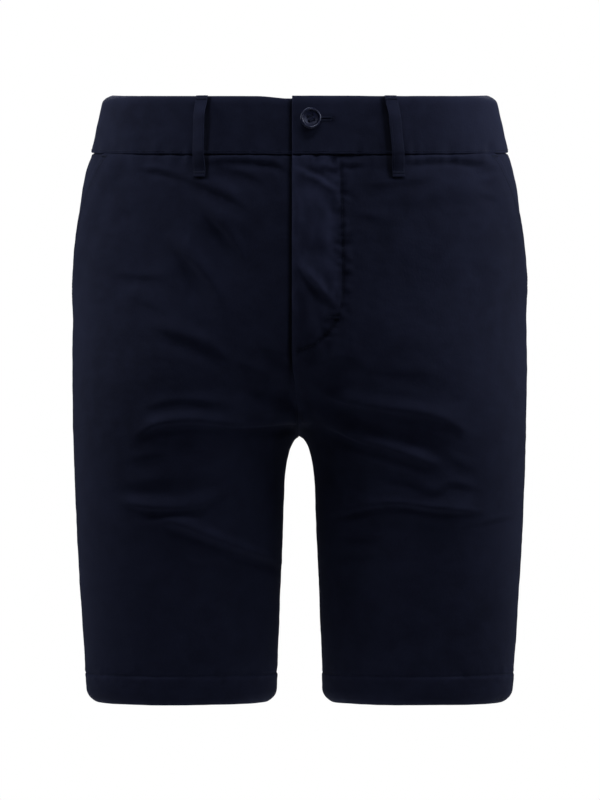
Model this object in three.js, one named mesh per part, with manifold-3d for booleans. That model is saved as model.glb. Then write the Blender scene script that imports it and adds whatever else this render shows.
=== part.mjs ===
// Bermuda shorts in dark navy cotton twill, filled out as if worn, and hollow.
// Millimetres, +Z up, the front faces -Y, and the wearer's left is at +X.
// The origin is the centre of the waist opening, half way down the waistband at the front.
// "drop" is the distance below the waistband's top edge, measured at the centre front.
// Every cloth piece is a wall cut from one body surface: a horizontal section at each drop,
// which is a single rounded oval at the hips and parts into two legs at the crotch.

import * as THREE from "three";
import Module from "manifold-3d";
import { mergeVertices } from "three/addons/utils/BufferGeometryUtils.js";

const wasm = await Module();
wasm.setup();

// Driving lengths
const BAND_HEIGHT = 50;
const OUTSEAM = 521;
const CROTCH_DROP = 291.8;
const FORK_DROP = 150; // here the section starts to part into two legs
const FRONT_TOP_Z = BAND_HEIGHT / 2;
const SEAM_GAP = 0.3;
const CLOTH = 1.6; // panels, pocket facings
const BAND_CLOTH = 2.4; // waistband, two layers
const BAND_PROUD = 0.8; // the band's face stands this far outside the panels

// Crotch and legs
const WEB = 10; // radius that rounds the fork between the legs
const ARCH_HALF = 13.2; // half width of the gap between the legs below its round top
const ARCH_HEIGHT = 50;
const LEG_SPREAD = 0.041; // growth of that half width for each millimetre further down

// The waist sits higher at the sides and back than at the front
const SIDE_LIFT = 6;
const BACK_LIFT = 3;
const WAIST_DEPTH = 97;
const LIFT_END_DROP = 200;

// Rounded edges of the waistband's top and of the hems
const WAIST_LIP = { inset: 3, sideInset: 5, height: 7 };
const HEM_LIP = { inset: 3, sideInset: 5, height: 11 };
const LIP_TURN = 0.88; // share of a quarter turn, as a sine

// Fly: the left front laps over the right one
const FLY = { edge: -6.5, underPanel: 3, underBand: 34, end: 208 };
const FLY_STEP = CLOTH + 2 * SEAM_GAP;
const BAND_STEP = BAND_CLOTH + SEAM_GAP;

// Slanted side pockets: the mouth runs from the waist seam to the side seam
const POCKET = { setback: 66, bottom: 196, under: 14, facingEnd: 212 };
const SIDE_SEAM_TURN = 0.1; // radians behind the widest point

// Belt loops: width, thickness, length and how far they stand off the band
const LOOP = { width: 10.5, cloth: 1.8, top: 1, bottom: 70, stand: 7.2 };
const LOOPS = [
  { name: "belt_loop_front_right", face: "front", x: -83.4, lean: -1.7 },
  { name: "belt_loop_front_left", face: "front", x: 77.6, lean: 6.6 },
  { name: "belt_loop_side_right", face: "back", x: -88, lean: 0 },
  { name: "belt_loop_side_left", face: "back", x: 88, lean: 0 },
  { name: "belt_loop_back", face: "back", x: 0, lean: 0 },
];

const BUTTON = { x: 9, drop: 20, radius: 9.1, rim: 3.2, well: 1.7, hole: 0.95, holeSpread: 1.75, turn: 0.3 };
const SHANK_RADIUS = 1.6;
const BUTTONHOLE = { eye: 2.3, half: 1.3, length: 18.5 };

// The body's sections: half width at the side, depth in front and behind, and squareness
const SECTIONS = [
  { drop: 0, side: 169.6, front: 92.0, back: 97, square: 2.45 },
  { drop: 25, side: 175.2, front: 94.5, back: 99, square: 2.45 },
  { drop: 50, side: 180.2, front: 97.0, back: 102, square: 2.42 },
  { drop: 58, side: 183.6, front: 98.6, back: 105, square: 2.4 },
  { drop: 66, side: 186.0, front: 99.8, back: 108, square: 2.38 },
  { drop: 82, side: 189.4, front: 101.6, back: 113, square: 2.36 },
  { drop: 107, side: 192.8, front: 103.5, back: 120, square: 2.33 },
  { drop: 140, side: 195.6, front: 104.8, back: 127, square: 2.3 },
  { drop: 175, side: 197.4, front: 105.0, back: 131, square: 2.26 },
  { drop: 224, side: 198.3, front: 103.0, back: 131, square: 2.22 },
  { drop: 259, side: 197.9, front: 100.5, back: 124, square: 2.2 },
  { drop: 294, side: 197.1, front: 97.0, back: 113, square: 2.18 },
  { drop: 364, side: 194.4, front: 88.5, back: 95, square: 2.14 },
  { drop: 433, side: 190.5, front: 79.5, back: 83, square: 2.12 },
  { drop: 503, side: 185.7, front: 70.5, back: 74.5, square: 2.1 },
  { drop: 521, side: 184.3, front: 68.0, back: 72, square: 2.1 },
];

// Soft folds as seen from the front or the back: a ridge (or a trough, where height is
// negative) from one end to the other, with its bow, its width above and below its crest
const FRONT_FOLDS = [
  { x0: -104, d0: 76, x1: -22, d1: 112, bow: 0, above: 22, below: 20, height: 1.8 },
  { x0: -124, d0: 128, x1: -52, d1: 204, bow: -6, above: 26, below: 24, height: 2.6 },
  { x0: -152, d0: 292, x1: -12, d1: 272, bow: -9, above: 24, below: 20, height: 3.6 },
  { x0: -160, d0: 350, x1: -62, d1: 350, bow: 4, above: 22, below: 18, height: 2.4 },
  { x0: -136, d0: 366, x1: -22, d1: 404, bow: -8, above: 22, below: 20, height: 3.0 },
  { x0: 58, d0: 82, x1: 176, d1: 72, bow: 4, above: 20, below: 16, height: 1.8 },
  { x0: 14, d0: 254, x1: 156, d1: 292, bow: -8, above: 24, below: 20, height: 3.6 },
  { x0: 18, d0: 300, x1: 128, d1: 330, bow: -5, above: 20, below: 18, height: 2.6 },
  { x0: 36, d0: 350, x1: 176, d1: 360, bow: -6, above: 22, below: 18, height: 3.0 },
];
const BACK_FOLDS = [
  { x0: -160, d0: 232, x1: -22, d1: 262, bow: -8, above: 24, below: 20, height: 3.0 },
  { x0: -146, d0: 284, x1: -20, d1: 300, bow: -7, above: 22, below: 20, height: 3.2 },
  { x0: 22, d0: 258, x1: 160, d1: 230, bow: -8, above: 24, below: 20, height: 2.8 },
  { x0: 24, d0: 298, x1: 142, d1: 282, bow: -7, above: 22, below: 20, height: 3.2 },
];

const NAVY = new THREE.Color(0.018, 0.021, 0.043);
const cloth = new THREE.MeshStandardMaterial({ color: NAVY, roughness: 0.88, metalness: 0 });
const plastic = new THREE.MeshStandardMaterial({
  color: new THREE.Color(0.03, 0.034, 0.07),
  roughness: 0.35,
  metalness: 0,
});

const clamp01 = (u) => Math.min(1, Math.max(0, u));
const mix = (a, b, u) => a + (b - a) * u;

/** 0 before from, 1 after to, and smooth between them. */
function ease(from, to, value) {
  const u = clamp01((value - from) / (to - from));
  return u * u * (3 - 2 * u);
}

/** One column of SECTIONS at a drop, smooth through every row. */
function section(key, drop) {
  const last = SECTIONS.length - 1;
  let i = SECTIONS.findIndex((row) => row.drop > drop) - 1;
  if (i < 0) i = drop < SECTIONS[0].drop ? 0 : last - 1;
  const slope = (k) => {
    const before = SECTIONS[Math.max(0, k - 1)];
    const after = SECTIONS[Math.min(last, k + 1)];
    return (after[key] - before[key]) / (after.drop - before.drop);
  };
  const [p, q] = [SECTIONS[i], SECTIONS[i + 1]];
  const step = q.drop - p.drop;
  const u = (drop - p.drop) / step;
  const u2 = u * u;
  const u3 = u2 * u;
  return (
    p[key] * (2 * u3 - 3 * u2 + 1) +
    slope(i) * step * (u3 - 2 * u2 + u) +
    q[key] * (3 * u2 - 2 * u3) +
    slope(i + 1) * step * (u3 - u2)
  );
}

/** Half the clear width between the legs at a drop below the crotch. */
function legGap(drop) {
  const below = drop - CROTCH_DROP;
  const round = 1 - Math.min(1, below / ARCH_HEIGHT);
  return ARCH_HALF * Math.sqrt(1 - round * round) + LEG_SPREAD * Math.max(0, below - ARCH_HEIGHT);
}

// How fast the halves part as they reach the crotch, to run smoothly on into the legs
const archSlope = ARCH_HALF ** 2 / (2 * WEB * ARCH_HEIGHT);
const forkReach = Math.hypot(section("side", CROTCH_DROP), WEB) - WEB;
const forkSlope = (4 * archSlope * (CROTCH_DROP - FORK_DROP)) / forkReach;

/**
 * The oval of one half at a drop: centre, half axes and exponent. Its x is measured before
 * the two halves are joined, which draws x in to sqrt(x * x - WEB * WEB).
 */
function oval(drop) {
  const side = Math.hypot(section("side", drop), WEB);
  const front = section("front", drop);
  const back = section("back", drop);
  let cx;
  if (drop >= CROTCH_DROP) {
    cx = (side + Math.hypot(legGap(drop), WEB)) / 2;
  } else {
    const s = clamp01((drop - FORK_DROP) / (CROTCH_DROP - FORK_DROP));
    const parted = (3 - forkSlope) * s * s + (forkSlope - 2) * s * s * s;
    cx = (WEB + parted * side) / (1 + parted);
  }
  return { cx, cy: (back - front) / 2, a: side - cx, b: (front + back) / 2, n: section("square", drop) };
}

/** How much higher than at the centre front a point with this y lies, near the waist. */
function waistLift(y, drop) {
  const fade = 1 - ease(BAND_HEIGHT, LIFT_END_DROP, drop);
  const behind = clamp01(y / WAIST_DEPTH);
  const lift = y < 0 ? SIDE_LIFT * (1 + y / WAIST_DEPTH) : SIDE_LIFT + BACK_LIFT * behind * (2 - behind);
  return lift * fade;
}

const toZ = (y, drop) => FRONT_TOP_Z - drop + waistLift(y, drop);

/** Below 0 inside the body surface and above 0 outside it. */
function outside(x, y, drop) {
  const o = oval(drop);
  const u = Math.abs(Math.hypot(x, WEB) - o.cx) / o.a;
  const v = Math.abs(y - o.cy) / o.b;
  return u ** o.n + v ** o.n - 1;
}

/** The body surface's outward direction. */
function outward(x, y, drop) {
  const h = 0.01;
  const dx = outside(x + h, y, drop) - outside(x - h, y, drop);
  const dy = outside(x, y + h, drop) - outside(x, y - h, drop);
  const dd = outside(x, y, drop + h) - outside(x, y, drop - h);
  const tilt = (waistLift(y + h, drop) - waistLift(y - h, drop)) / (2 * h);
  return new THREE.Vector3(dx, dy + dd * tilt, -dd).normalize();
}

const CURVE_STEPS = 400;
const curves = new Map();

/**
 * A row of the front or the back at a drop, for the half at +X: points, and the length along
 * them. The front runs from the centre or inseam to the side seam, and the back from the side
 * seam to the centre or inseam.
 */
function rowCurve(face, drop) {
  const key = face + drop;
  if (curves.has(key)) return curves.get(key);
  const o = oval(drop);
  const reach = Math.min(1, (o.cx - WEB) / o.a); // cosine where the halves meet
  const inner = Math.PI - Math.acos(reach ** (o.n / 2)); // angle from the side to there
  const [from, to] = face === "front" ? [-inner, SIDE_SEAM_TURN] : [SIDE_SEAM_TURN, inner];
  const points = [];
  const lengths = [];
  for (let i = 0; i <= CURVE_STEPS; i++) {
    const angle = mix(from, to, i / CURVE_STEPS);
    const c = Math.cos(angle);
    const s = Math.sin(angle);
    const wide = o.cx + o.a * Math.sign(c) * Math.abs(c) ** (2 / o.n);
    const x = Math.sqrt(Math.max(0, wide * wide - WEB * WEB));
    const y = o.cy + o.b * Math.sign(s) * Math.abs(s) ** (2 / o.n);
    points.push([x, y]);
    const [px, py] = i ? points[i - 1] : [x, y];
    lengths.push(i ? lengths[i - 1] + Math.hypot(x - px, y - py) : 0);
  }
  const curve = { points, lengths, total: lengths[CURVE_STEPS] };
  curves.set(key, curve);
  return curve;
}

/** The point of a row at a length along it. A length below 0 crosses to the other half. */
function along(curve, length) {
  const wanted = Math.min(Math.abs(length), curve.total);
  let lo = 0;
  let hi = CURVE_STEPS;
  while (hi - lo > 1) {
    const mid = (lo + hi) >> 1;
    if (curve.lengths[mid] > wanted) hi = mid;
    else lo = mid;
  }
  const span = curve.lengths[hi] - curve.lengths[lo];
  const u = span > 0 ? (wanted - curve.lengths[lo]) / span : 0;
  const x = mix(curve.points[lo][0], curve.points[hi][0], u);
  const y = mix(curve.points[lo][1], curve.points[hi][1], u);
  return [length < 0 ? -x : x, y];
}

/** The length along a front or back row at which its x reaches a value. */
function lengthAtX(face, drop, x) {
  const curve = rowCurve(face, drop);
  let lo = 0;
  let hi = curve.total;
  for (let i = 0; i < 40; i++) {
    const mid = (lo + hi) / 2;
    const inside = along(curve, mid)[0] < x;
    if (inside === (face === "front")) lo = mid;
    else hi = mid;
  }
  return lo;
}

/** Height of the soft folds at a place seen from the front or the back. */
function foldHeight(folds, x, drop) {
  let height = 0;
  for (const f of folds) {
    const dx = f.x1 - f.x0;
    const dd = f.d1 - f.d0;
    const reach = dx * dx + dd * dd;
    const u = ((x - f.x0) * dx + (drop - f.d0) * dd) / reach;
    if (u <= 0 || u >= 1) continue;
    const across = ((drop - f.d0) * dx - (x - f.x0) * dd) / Math.sqrt(reach) - f.bow * 4 * u * (1 - u);
    const v = across / (across < 0 ? f.above : f.below);
    if (Math.abs(v) >= 1) continue;
    const end = Math.min(1, 3.2 * Math.min(u, 1 - u));
    height += f.height * (1 - v * v) ** 2 * end * end * (3 - 2 * end);
  }
  return height;
}

/** How far a lip is drawn in, and its slope, at a distance from the edge. */
function lipAt(lip, fromEdge, sideways) {
  const u = clamp01(1 - fromEdge / lip.height) * LIP_TURN;
  const depth = lip.inset + lip.sideInset * sideways * sideways;
  const full = 1 - Math.sqrt(1 - LIP_TURN * LIP_TURN);
  const inset = (depth * (1 - Math.sqrt(1 - u * u))) / full;
  const slope = ((depth / full) * (u / Math.sqrt(1 - u * u)) * LIP_TURN) / lip.height;
  return { inset, slope: fromEdge < lip.height ? slope : 0 };
}

/**
 * A point of a cloth piece: the body surface at a length along a row, moved out by proud, with
 * the rounded edge at the waist or the hem. Returns the outer and the inner point of the wall.
 */
function wallPoint(side, face, drop, length, proudAt, thickness) {
  const [x, y] = along(rowCurve(face, drop), length);
  const out = outward(x, y, drop);
  if (Math.abs(length) < 1 && drop < CROTCH_DROP && face === "front") out.setX(0).normalize();
  const flat = new THREE.Vector3(out.x, out.y, 0).normalize();
  const waist = lipAt(WAIST_LIP, drop, flat.x);
  const hem = lipAt(HEM_LIP, OUTSEAM - drop, flat.x);
  const turned = out.clone();
  turned.z += waist.slope - hem.slope;
  turned.normalize();
  const outer = new THREE.Vector3(x, y, toZ(y, drop));
  outer.addScaledVector(flat, -waist.inset - hem.inset);
  outer.addScaledVector(turned, proudAt(x * side, y, drop, length));
  const inner = outer.clone().addScaledVector(turned, -thickness);
  outer.x *= side;
  inner.x *= side;
  return [outer, inner];
}

/** A closed wall from rows of [outer, inner] points. mirrored turns its faces round. */
function wallGeometry(rows, mirrored) {
  const count = rows.length;
  const width = rows[0].length;
  const layer = count * width;
  const positions = new Float32Array(layer * 2 * 3);
  rows.forEach((row, r) =>
    row.forEach((pair, c) =>
      pair.forEach((p, k) => p.toArray(positions, (k * layer + r * width + c) * 3)),
    ),
  );
  const index = [];
  const triangle = (a, b, c) => (mirrored ? index.push(a, c, b) : index.push(a, b, c));
  const apart = (a, b) => {
    const [p, q] = [a, b].map((i) => rows[Math.floor(i / width)][i % width][0]);
    return p.distanceTo(q);
  };
  const quad = (a, b, c, d) => {
    const [i, j, k, l] = [a, b, c, d].map((v) => v % layer);
    if (apart(i, k) <= apart(j, l)) {
      triangle(a, b, c);
      triangle(a, c, d);
    } else {
      triangle(b, c, d);
      triangle(b, d, a);
    }
  };
  const at = (r, c) => r * width + c;
  for (let r = 0; r + 1 < count; r++) {
    for (let c = 0; c + 1 < width; c++) {
      quad(at(r, c), at(r + 1, c), at(r + 1, c + 1), at(r, c + 1));
      quad(layer + at(r, c), layer + at(r, c + 1), layer + at(r + 1, c + 1), layer + at(r + 1, c));
    }
    const last = width - 1;
    quad(at(r, 0), layer + at(r, 0), layer + at(r + 1, 0), at(r + 1, 0));
    quad(at(r, last), at(r + 1, last), layer + at(r + 1, last), layer + at(r, last));
  }
  for (let c = 0; c + 1 < width; c++) {
    const end = count - 1;
    quad(at(0, c), at(0, c + 1), layer + at(0, c + 1), layer + at(0, c));
    quad(at(end, c), layer + at(end, c), layer + at(end, c + 1), at(end, c + 1));
  }
  const geometry = new THREE.BufferGeometry();
  geometry.setAttribute("position", new THREE.BufferAttribute(positions, 3));
  geometry.setIndex(index);
  geometry.computeVertexNormals();
  return geometry;
}

const OVERLAP = FLY.underPanel - FLY.edge; // the first column of a front, the same on both
const SIDE_STRIP = 36; // this close to the side seam the columns are finer
const PIVOT = 0.36; // share of the half width outside which the columns don't lean at the fork

/** Even steps from one length to another, without the last. */
const steps = (from, to, count) => Array.from({ length: count }, (_, i) => mix(from, to, i / count));

const evenColumns = (drop, start, end) => [...steps(start, end, 8), end];

/** Lengths along a row of a front panel, from its centre edge to its side edge. */
function frontColumns(drop, start, end) {
  const pivot = lengthAtX("front", drop, PIVOT * section("side", drop));
  const strip = end - SIDE_STRIP;
  return [start, ...steps(start + OVERLAP, pivot, 4), ...steps(pivot, strip, 8), ...steps(strip, end, 4), end];
}

/** Lengths along a row of a back panel, from the side seam to its centre edge. */
function backColumns(drop, start, end) {
  const pivot = lengthAtX("back", drop, PIVOT * section("side", drop));
  return [...steps(start, pivot, 8), ...steps(pivot, end, 4), end];
}

/** A cloth piece between two lengths along each row. */
function clothPiece({ name, side, face, drops, from, to, proud, columns }) {
  const rows = drops.map((drop) => {
    const total = rowCurve(face, drop).total;
    return columns(drop, from(drop, total), to(drop, total)).map((length) =>
      wallPoint(side, face, drop, length, proud, CLOTH),
    );
  });
  const mesh = new THREE.Mesh(wallGeometry(rows, side < 0), cloth);
  mesh.name = name;
  return mesh;
}

/** Drops from one to another, closer together at the first or at the last of them. */
const BUNCHING = 1.6;
const bunchedFirst = (from, to, count) => steps(0, 1, count).map((u) => mix(from, to, u ** BUNCHING));
const bunchedLast = (from, to, count) =>
  steps(0, 1, count).map((u) => mix(to, from, (1 - u) ** BUNCHING));

const PANEL_TOP = BAND_HEIGHT + SEAM_GAP;

/** The rows of a panel, closest at the waist seam, the crotch and the hem. */
function panelDrops({ hips, fork, arch, leg }) {
  return [
    ...bunchedFirst(PANEL_TOP, 100, 5),
    ...steps(100, 244, hips),
    ...bunchedLast(244, CROTCH_DROP, fork),
    ...bunchedFirst(CROTCH_DROP, 336, arch),
    ...steps(336, OUTSEAM - HEM_LIP.height, leg),
    ...bunchedLast(OUTSEAM - HEM_LIP.height, OUTSEAM, 3),
    OUTSEAM,
  ];
}

const FRONT_ROWS = { hips: 12, fork: 7, arch: 6, leg: 15 };
const BACK_ROWS = { hips: 8, fork: 6, arch: 5, leg: 8 };
const halfGap = SEAM_GAP / 2;

/** Where the left front's edge runs across the front: the fly's edge, then the centre seam. */
const flyEdge = (drop) => mix(FLY.edge, halfGap, ease(FLY.end + 10, CROTCH_DROP - 8, drop));

/** How fully the fly laps at a drop: 1 along the fly and 0 well below it. */
const flyLap = (drop) => 1 - ease(FLY.end + 3, FLY.end + 55, drop);

/** How far a front lies outside (left) or inside (right) the body surface at the fly. */
function flyProud(side, step, x, drop, underReach) {
  const near = side > 0 ? 1 - ease(underReach + 4, underReach + 40, x) : ease(-42, -9, x);
  return side * (step / 2) * near * flyLap(drop);
}

/** The width of the pocket's slanted mouth, from the side seam, at a drop. */
const mouth = (drop) => POCKET.setback * clamp01((POCKET.bottom - drop) / (POCKET.bottom - PANEL_TOP));

/** How far the pocket facing lies inside the body surface: least at its top. */
const facingInset = (drop) => mix(SEAM_GAP, CLOTH + 2 * SEAM_GAP, ease(150, 195, drop));

function frontProud(side) {
  return (x, y, drop, length) => {
    const toSide = rowCurve("front", drop).total - length;
    const beside = toSide - mouth(drop);
    const lifted = (1 - ease(16, 44, beside)) * (1 - ease(POCKET.facingEnd + 4, 245, drop));
    const pocket = (CLOTH + 2 * SEAM_GAP - facingInset(drop)) * lifted;
    const centre = ease(7, 27, Math.abs(length));
    const seams = centre * ease(0, 26, beside);
    const fold = foldHeight(FRONT_FOLDS, x, drop) * seams;
    return pocket + fold + flyProud(side, FLY_STEP, x, drop, FLY.underPanel);
  };
}

function backProud(x, y, drop, length) {
  const total = rowCurve("back", drop).total;
  const seams = ease(0, 26, length) * ease(2, 22, total - length);
  return foldHeight(BACK_FOLDS, x, drop) * seams;
}

function frontPanel(side, name) {
  const start = (drop) => {
    if (side > 0) return flyEdge(drop);
    const beside = SEAM_GAP - flyEdge(drop);
    return mix(-FLY.underPanel, beside, ease(FLY.end - 12, FLY.end, drop));
  };
  return clothPiece({
    name,
    side,
    face: "front",
    drops: panelDrops(FRONT_ROWS),
    from: start,
    to: (drop, total) => total - Math.max(halfGap, mouth(drop)),
    proud: frontProud(side),
    columns: frontColumns,
  });
}

function backPanel(side, name) {
  return clothPiece({
    name,
    side,
    face: "back",
    drops: panelDrops(BACK_ROWS),
    from: () => halfGap,
    to: (drop, total) => total - halfGap,
    proud: backProud,
    columns: backColumns,
  });
}

/** The strip of cloth that shows in the pocket's mouth, with its edge under the front. */
function pocketFacing(side, name) {
  return clothPiece({
    name,
    side,
    face: "front",
    drops: panelDrops(FRONT_ROWS).filter((drop) => drop <= POCKET.facingEnd),
    from: (drop, total) => total - mouth(drop) - POCKET.under,
    to: (drop, total) => total - halfGap,
    proud: (x, y, drop) => -facingInset(drop),
    columns: evenColumns,
  });
}

const BAND_DROPS = [0, 1.2, 3.4, 7, 28, BAND_HEIGHT];

/** Rows of half the waistband, from its end at the fly round to the centre back. */
function bandRows(side) {
  const reach = side > 0 ? FLY.edge : -FLY.underBand;
  const proud = (x, y, drop) =>
    BAND_PROUD + (y < 0 ? flyProud(side, BAND_STEP, x, 0, FLY.underBand) : 0);
  const at = (face, drop) => (length) => wallPoint(side, face, drop, length, proud, BAND_CLOTH);
  return BAND_DROPS.map((drop) => {
    const end = rowCurve("back", drop).total - halfGap;
    const fore = steps(reach, rowCurve("front", drop).total, 17).map(at("front", drop));
    const aft = [...steps(0, end, 14), end].map(at("back", drop));
    return [...fore, ...aft];
  });
}

/** A geometry as a manifold-3d solid. */
function toSolid(geometry) {
  const bare = geometry.index ? geometry.toNonIndexed() : geometry.clone();
  for (const key of Object.keys(bare.attributes)) if (key !== "position") bare.deleteAttribute(key);
  const merged = mergeVertices(bare, 1e-4);
  const data = { numProp: 3, vertProperties: merged.attributes.position.array };
  return new wasm.Manifold(new wasm.Mesh({ ...data, triVerts: new Uint32Array(merged.index.array) }));
}

/** A manifold-3d solid as a geometry. */
function fromSolid(solid) {
  const { vertProperties, triVerts } = solid.getMesh();
  const geometry = new THREE.BufferGeometry();
  geometry.setAttribute("position", new THREE.BufferAttribute(vertProperties, 3));
  geometry.setIndex(new THREE.BufferAttribute(triVerts, 1));
  geometry.computeVertexNormals();
  return geometry;
}

/** The over-lapping band's outer and inner points behind the button. */
const buttonSeat = wallPoint(
  1,
  "front",
  BUTTON.drop,
  BUTTON.x,
  (x) => BAND_PROUD + flyProud(1, BAND_STEP, x, 0, FLY.underBand),
  BAND_CLOTH,
);

/** Moves a shape made on the XY plane, facing +Z, to the button's seat, facing out. */
function ontoSeat(geometry) {
  const out = buttonSeat[0].clone().sub(buttonSeat[1]).normalize();
  const up = new THREE.Vector3().crossVectors(out, new THREE.Vector3(1, 0, 0)).normalize();
  const across = new THREE.Vector3().crossVectors(up, out);
  const matrix = new THREE.Matrix4().makeBasis(across, up, out).setPosition(buttonSeat[0]);
  return geometry.applyMatrix4(matrix);
}

/** A keyhole through the band: a round eye where the button's thread passes, then a slot. */
function buttonholeCutter() {
  const shape = new THREE.Shape();
  const meet = Math.asin(BUTTONHOLE.half / BUTTONHOLE.eye);
  shape.absarc(0, 0, BUTTONHOLE.eye, meet, -meet, false);
  shape.lineTo(BUTTONHOLE.length, -BUTTONHOLE.half);
  shape.lineTo(BUTTONHOLE.length, BUTTONHOLE.half);
  const depth = BAND_CLOTH * 2;
  const geometry = new THREE.ExtrudeGeometry(shape, { depth, bevelEnabled: false, curveSegments: 5 });
  return ontoSeat(geometry.translate(0, 0, -depth * 0.75));
}

function waistband(side, name) {
  let geometry = wallGeometry(bandRows(side), side < 0);
  if (side > 0) geometry = fromSolid(toSolid(geometry).subtract(toSolid(buttonholeCutter())));
  const mesh = new THREE.Mesh(geometry, cloth);
  mesh.name = name;
  return mesh;
}

/** A four-hole button with a round rim and a dished middle, and the thread shank behind it. */
function waistButton() {
  const { radius, rim, well, hole, holeSpread } = BUTTON;
  const profile = [
    [0, 0],
    [radius - 2.2, 0],
    [radius - 0.7, 0.55],
    [radius, rim * 0.55],
    [radius - 0.45, rim * 0.88],
    [radius - 1.3, rim],
    [radius - 2.3, rim * 0.9],
    [radius - 3.2, well],
    [0, well],
  ].map(([r, h]) => new THREE.Vector2(r, h));
  let disc = toSolid(new THREE.LatheGeometry(profile, 24));
  for (const [i, j] of [[1, 1], [1, -1], [-1, 1], [-1, -1]]) {
    const drill = new THREE.CylinderGeometry(hole, hole, rim * 3, 8);
    drill.translate(i * holeSpread, 0, j * holeSpread);
    disc = disc.subtract(toSolid(drill));
  }
  const stand = 0.7; // the flat back clears the curved band by about 0.3
  const faced = fromSolid(disc).rotateX(Math.PI / 2).rotateZ(BUTTON.turn).translate(0, 0, stand);
  const front = stand + 0.6;
  const length = front + BAND_CLOTH; // through the eye, just clear of the band underneath
  const shank = new THREE.CylinderGeometry(SHANK_RADIUS, SHANK_RADIUS, length, 8);
  shank.rotateX(Math.PI / 2).translate(0, 0, front - length / 2);
  const mesh = new THREE.Mesh(ontoSeat(fromSolid(toSolid(faced).add(toSolid(shank)))), plastic);
  mesh.name = "waist_button";
  return mesh;
}

/** The band's or panel's outer point and outward direction at x and a drop. */
function faceAt(face, x, drop) {
  const side = x < 0 ? -1 : 1;
  const length = lengthAtX(face, drop, Math.abs(x));
  const panel = face === "front" ? frontProud(side) : backProud;
  const proud = drop < BAND_HEIGHT ? () => BAND_PROUD : panel;
  const [outer, inner] = wallPoint(side, face, drop, length, proud, CLOTH);
  return { outer, out: outer.clone().sub(inner).normalize() };
}

/** A belt loop: a strip sewn down at both ends that stands off the band between them. */
function beltLoop({ name, face, x, lean }) {
  const count = 20;
  const rows = [];
  for (let i = 0; i <= count; i++) {
    const u = i / count;
    const drop = mix(LOOP.top, LOOP.bottom, u);
    const { outer, out } = faceAt(face, x + lean * u, drop);
    const across = new THREE.Vector3(-out.y, out.x, 0).normalize();
    const free = ease(0.03, 0.27, u) * (1 - ease(0.7, 0.95, u));
    const seat = SEAM_GAP + (drop < BAND_HEIGHT ? 0 : 0.2);
    const clear = mix(seat, LOOP.stand, free);
    rows.push(
      [-0.5, 0.5].map((half) => {
        const at = outer.clone().addScaledVector(across, half * LOOP.width);
        return [at.clone().addScaledVector(out, clear + LOOP.cloth), at.addScaledVector(out, clear)];
      }),
    );
  }
  const mesh = new THREE.Mesh(wallGeometry(rows, false), cloth);
  mesh.name = name;
  return mesh;
}

const shorts = new THREE.Group();
shorts.name = "bermuda_shorts";
shorts.add(
  frontPanel(1, "front_left"),
  frontPanel(-1, "front_right"),
  backPanel(1, "back_left"),
  backPanel(-1, "back_right"),
  pocketFacing(1, "pocket_facing_left"),
  pocketFacing(-1, "pocket_facing_right"),
  waistband(1, "waistband_left"),
  waistband(-1, "waistband_right"),
  waistButton(),
  ...LOOPS.map(beltLoop),
);

export default shorts;
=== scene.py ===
"""Bermuda shorts in dark navy cotton twill, filled out as if worn.

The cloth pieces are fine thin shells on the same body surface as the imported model, with the
creases, hems, topstitching, bar tacks, buttonhole and button of the photographed pair.
"drop" is the distance below the waistband's top edge at the centre front, and "length" is the
distance along a row from the centre front, or from the side seam on the back. side is 1 for the
wearer's left and -1 for the right. Sizes are millimetres, and the meshes are in metres.
"""

import math
from types import SimpleNamespace

import bmesh
import bpy
import numpy as np
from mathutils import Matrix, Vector, noise


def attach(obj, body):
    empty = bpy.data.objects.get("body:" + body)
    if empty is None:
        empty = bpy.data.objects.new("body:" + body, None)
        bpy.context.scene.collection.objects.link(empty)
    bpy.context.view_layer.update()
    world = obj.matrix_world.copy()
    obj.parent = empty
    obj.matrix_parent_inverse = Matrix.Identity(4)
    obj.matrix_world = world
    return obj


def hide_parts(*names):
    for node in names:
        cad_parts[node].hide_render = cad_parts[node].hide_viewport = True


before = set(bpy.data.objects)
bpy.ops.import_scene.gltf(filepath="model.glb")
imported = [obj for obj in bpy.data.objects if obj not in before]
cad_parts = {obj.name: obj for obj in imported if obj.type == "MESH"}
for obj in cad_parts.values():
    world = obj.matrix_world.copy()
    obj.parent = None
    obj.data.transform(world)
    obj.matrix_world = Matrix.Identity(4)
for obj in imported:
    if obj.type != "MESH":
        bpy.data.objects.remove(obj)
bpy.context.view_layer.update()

MM = 0.001

# Driving lengths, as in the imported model
BAND_HEIGHT = 50.0
OUTSEAM = 521.0
CROTCH_DROP = 291.8
FORK_DROP = 150.0
FRONT_TOP_Z = BAND_HEIGHT / 2
WEB = 10.0
ARCH_HALF = 13.2
ARCH_HEIGHT = 50.0
LEG_SPREAD = 0.041
SIDE_LIFT = 6.0
BACK_LIFT = 3.0
WAIST_DEPTH = 97.0
LIFT_END_DROP = 200.0
LIP_TURN = 0.88
SIDE_SEAM_TURN = 0.1
SEAM_GAP = 0.3
WAIST_LIP = {"inset": 3.0, "side_inset": 5.0, "height": 7.0}
HEM_LIP = {"inset": 3.0, "side_inset": 5.0, "height": 11.0}

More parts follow.
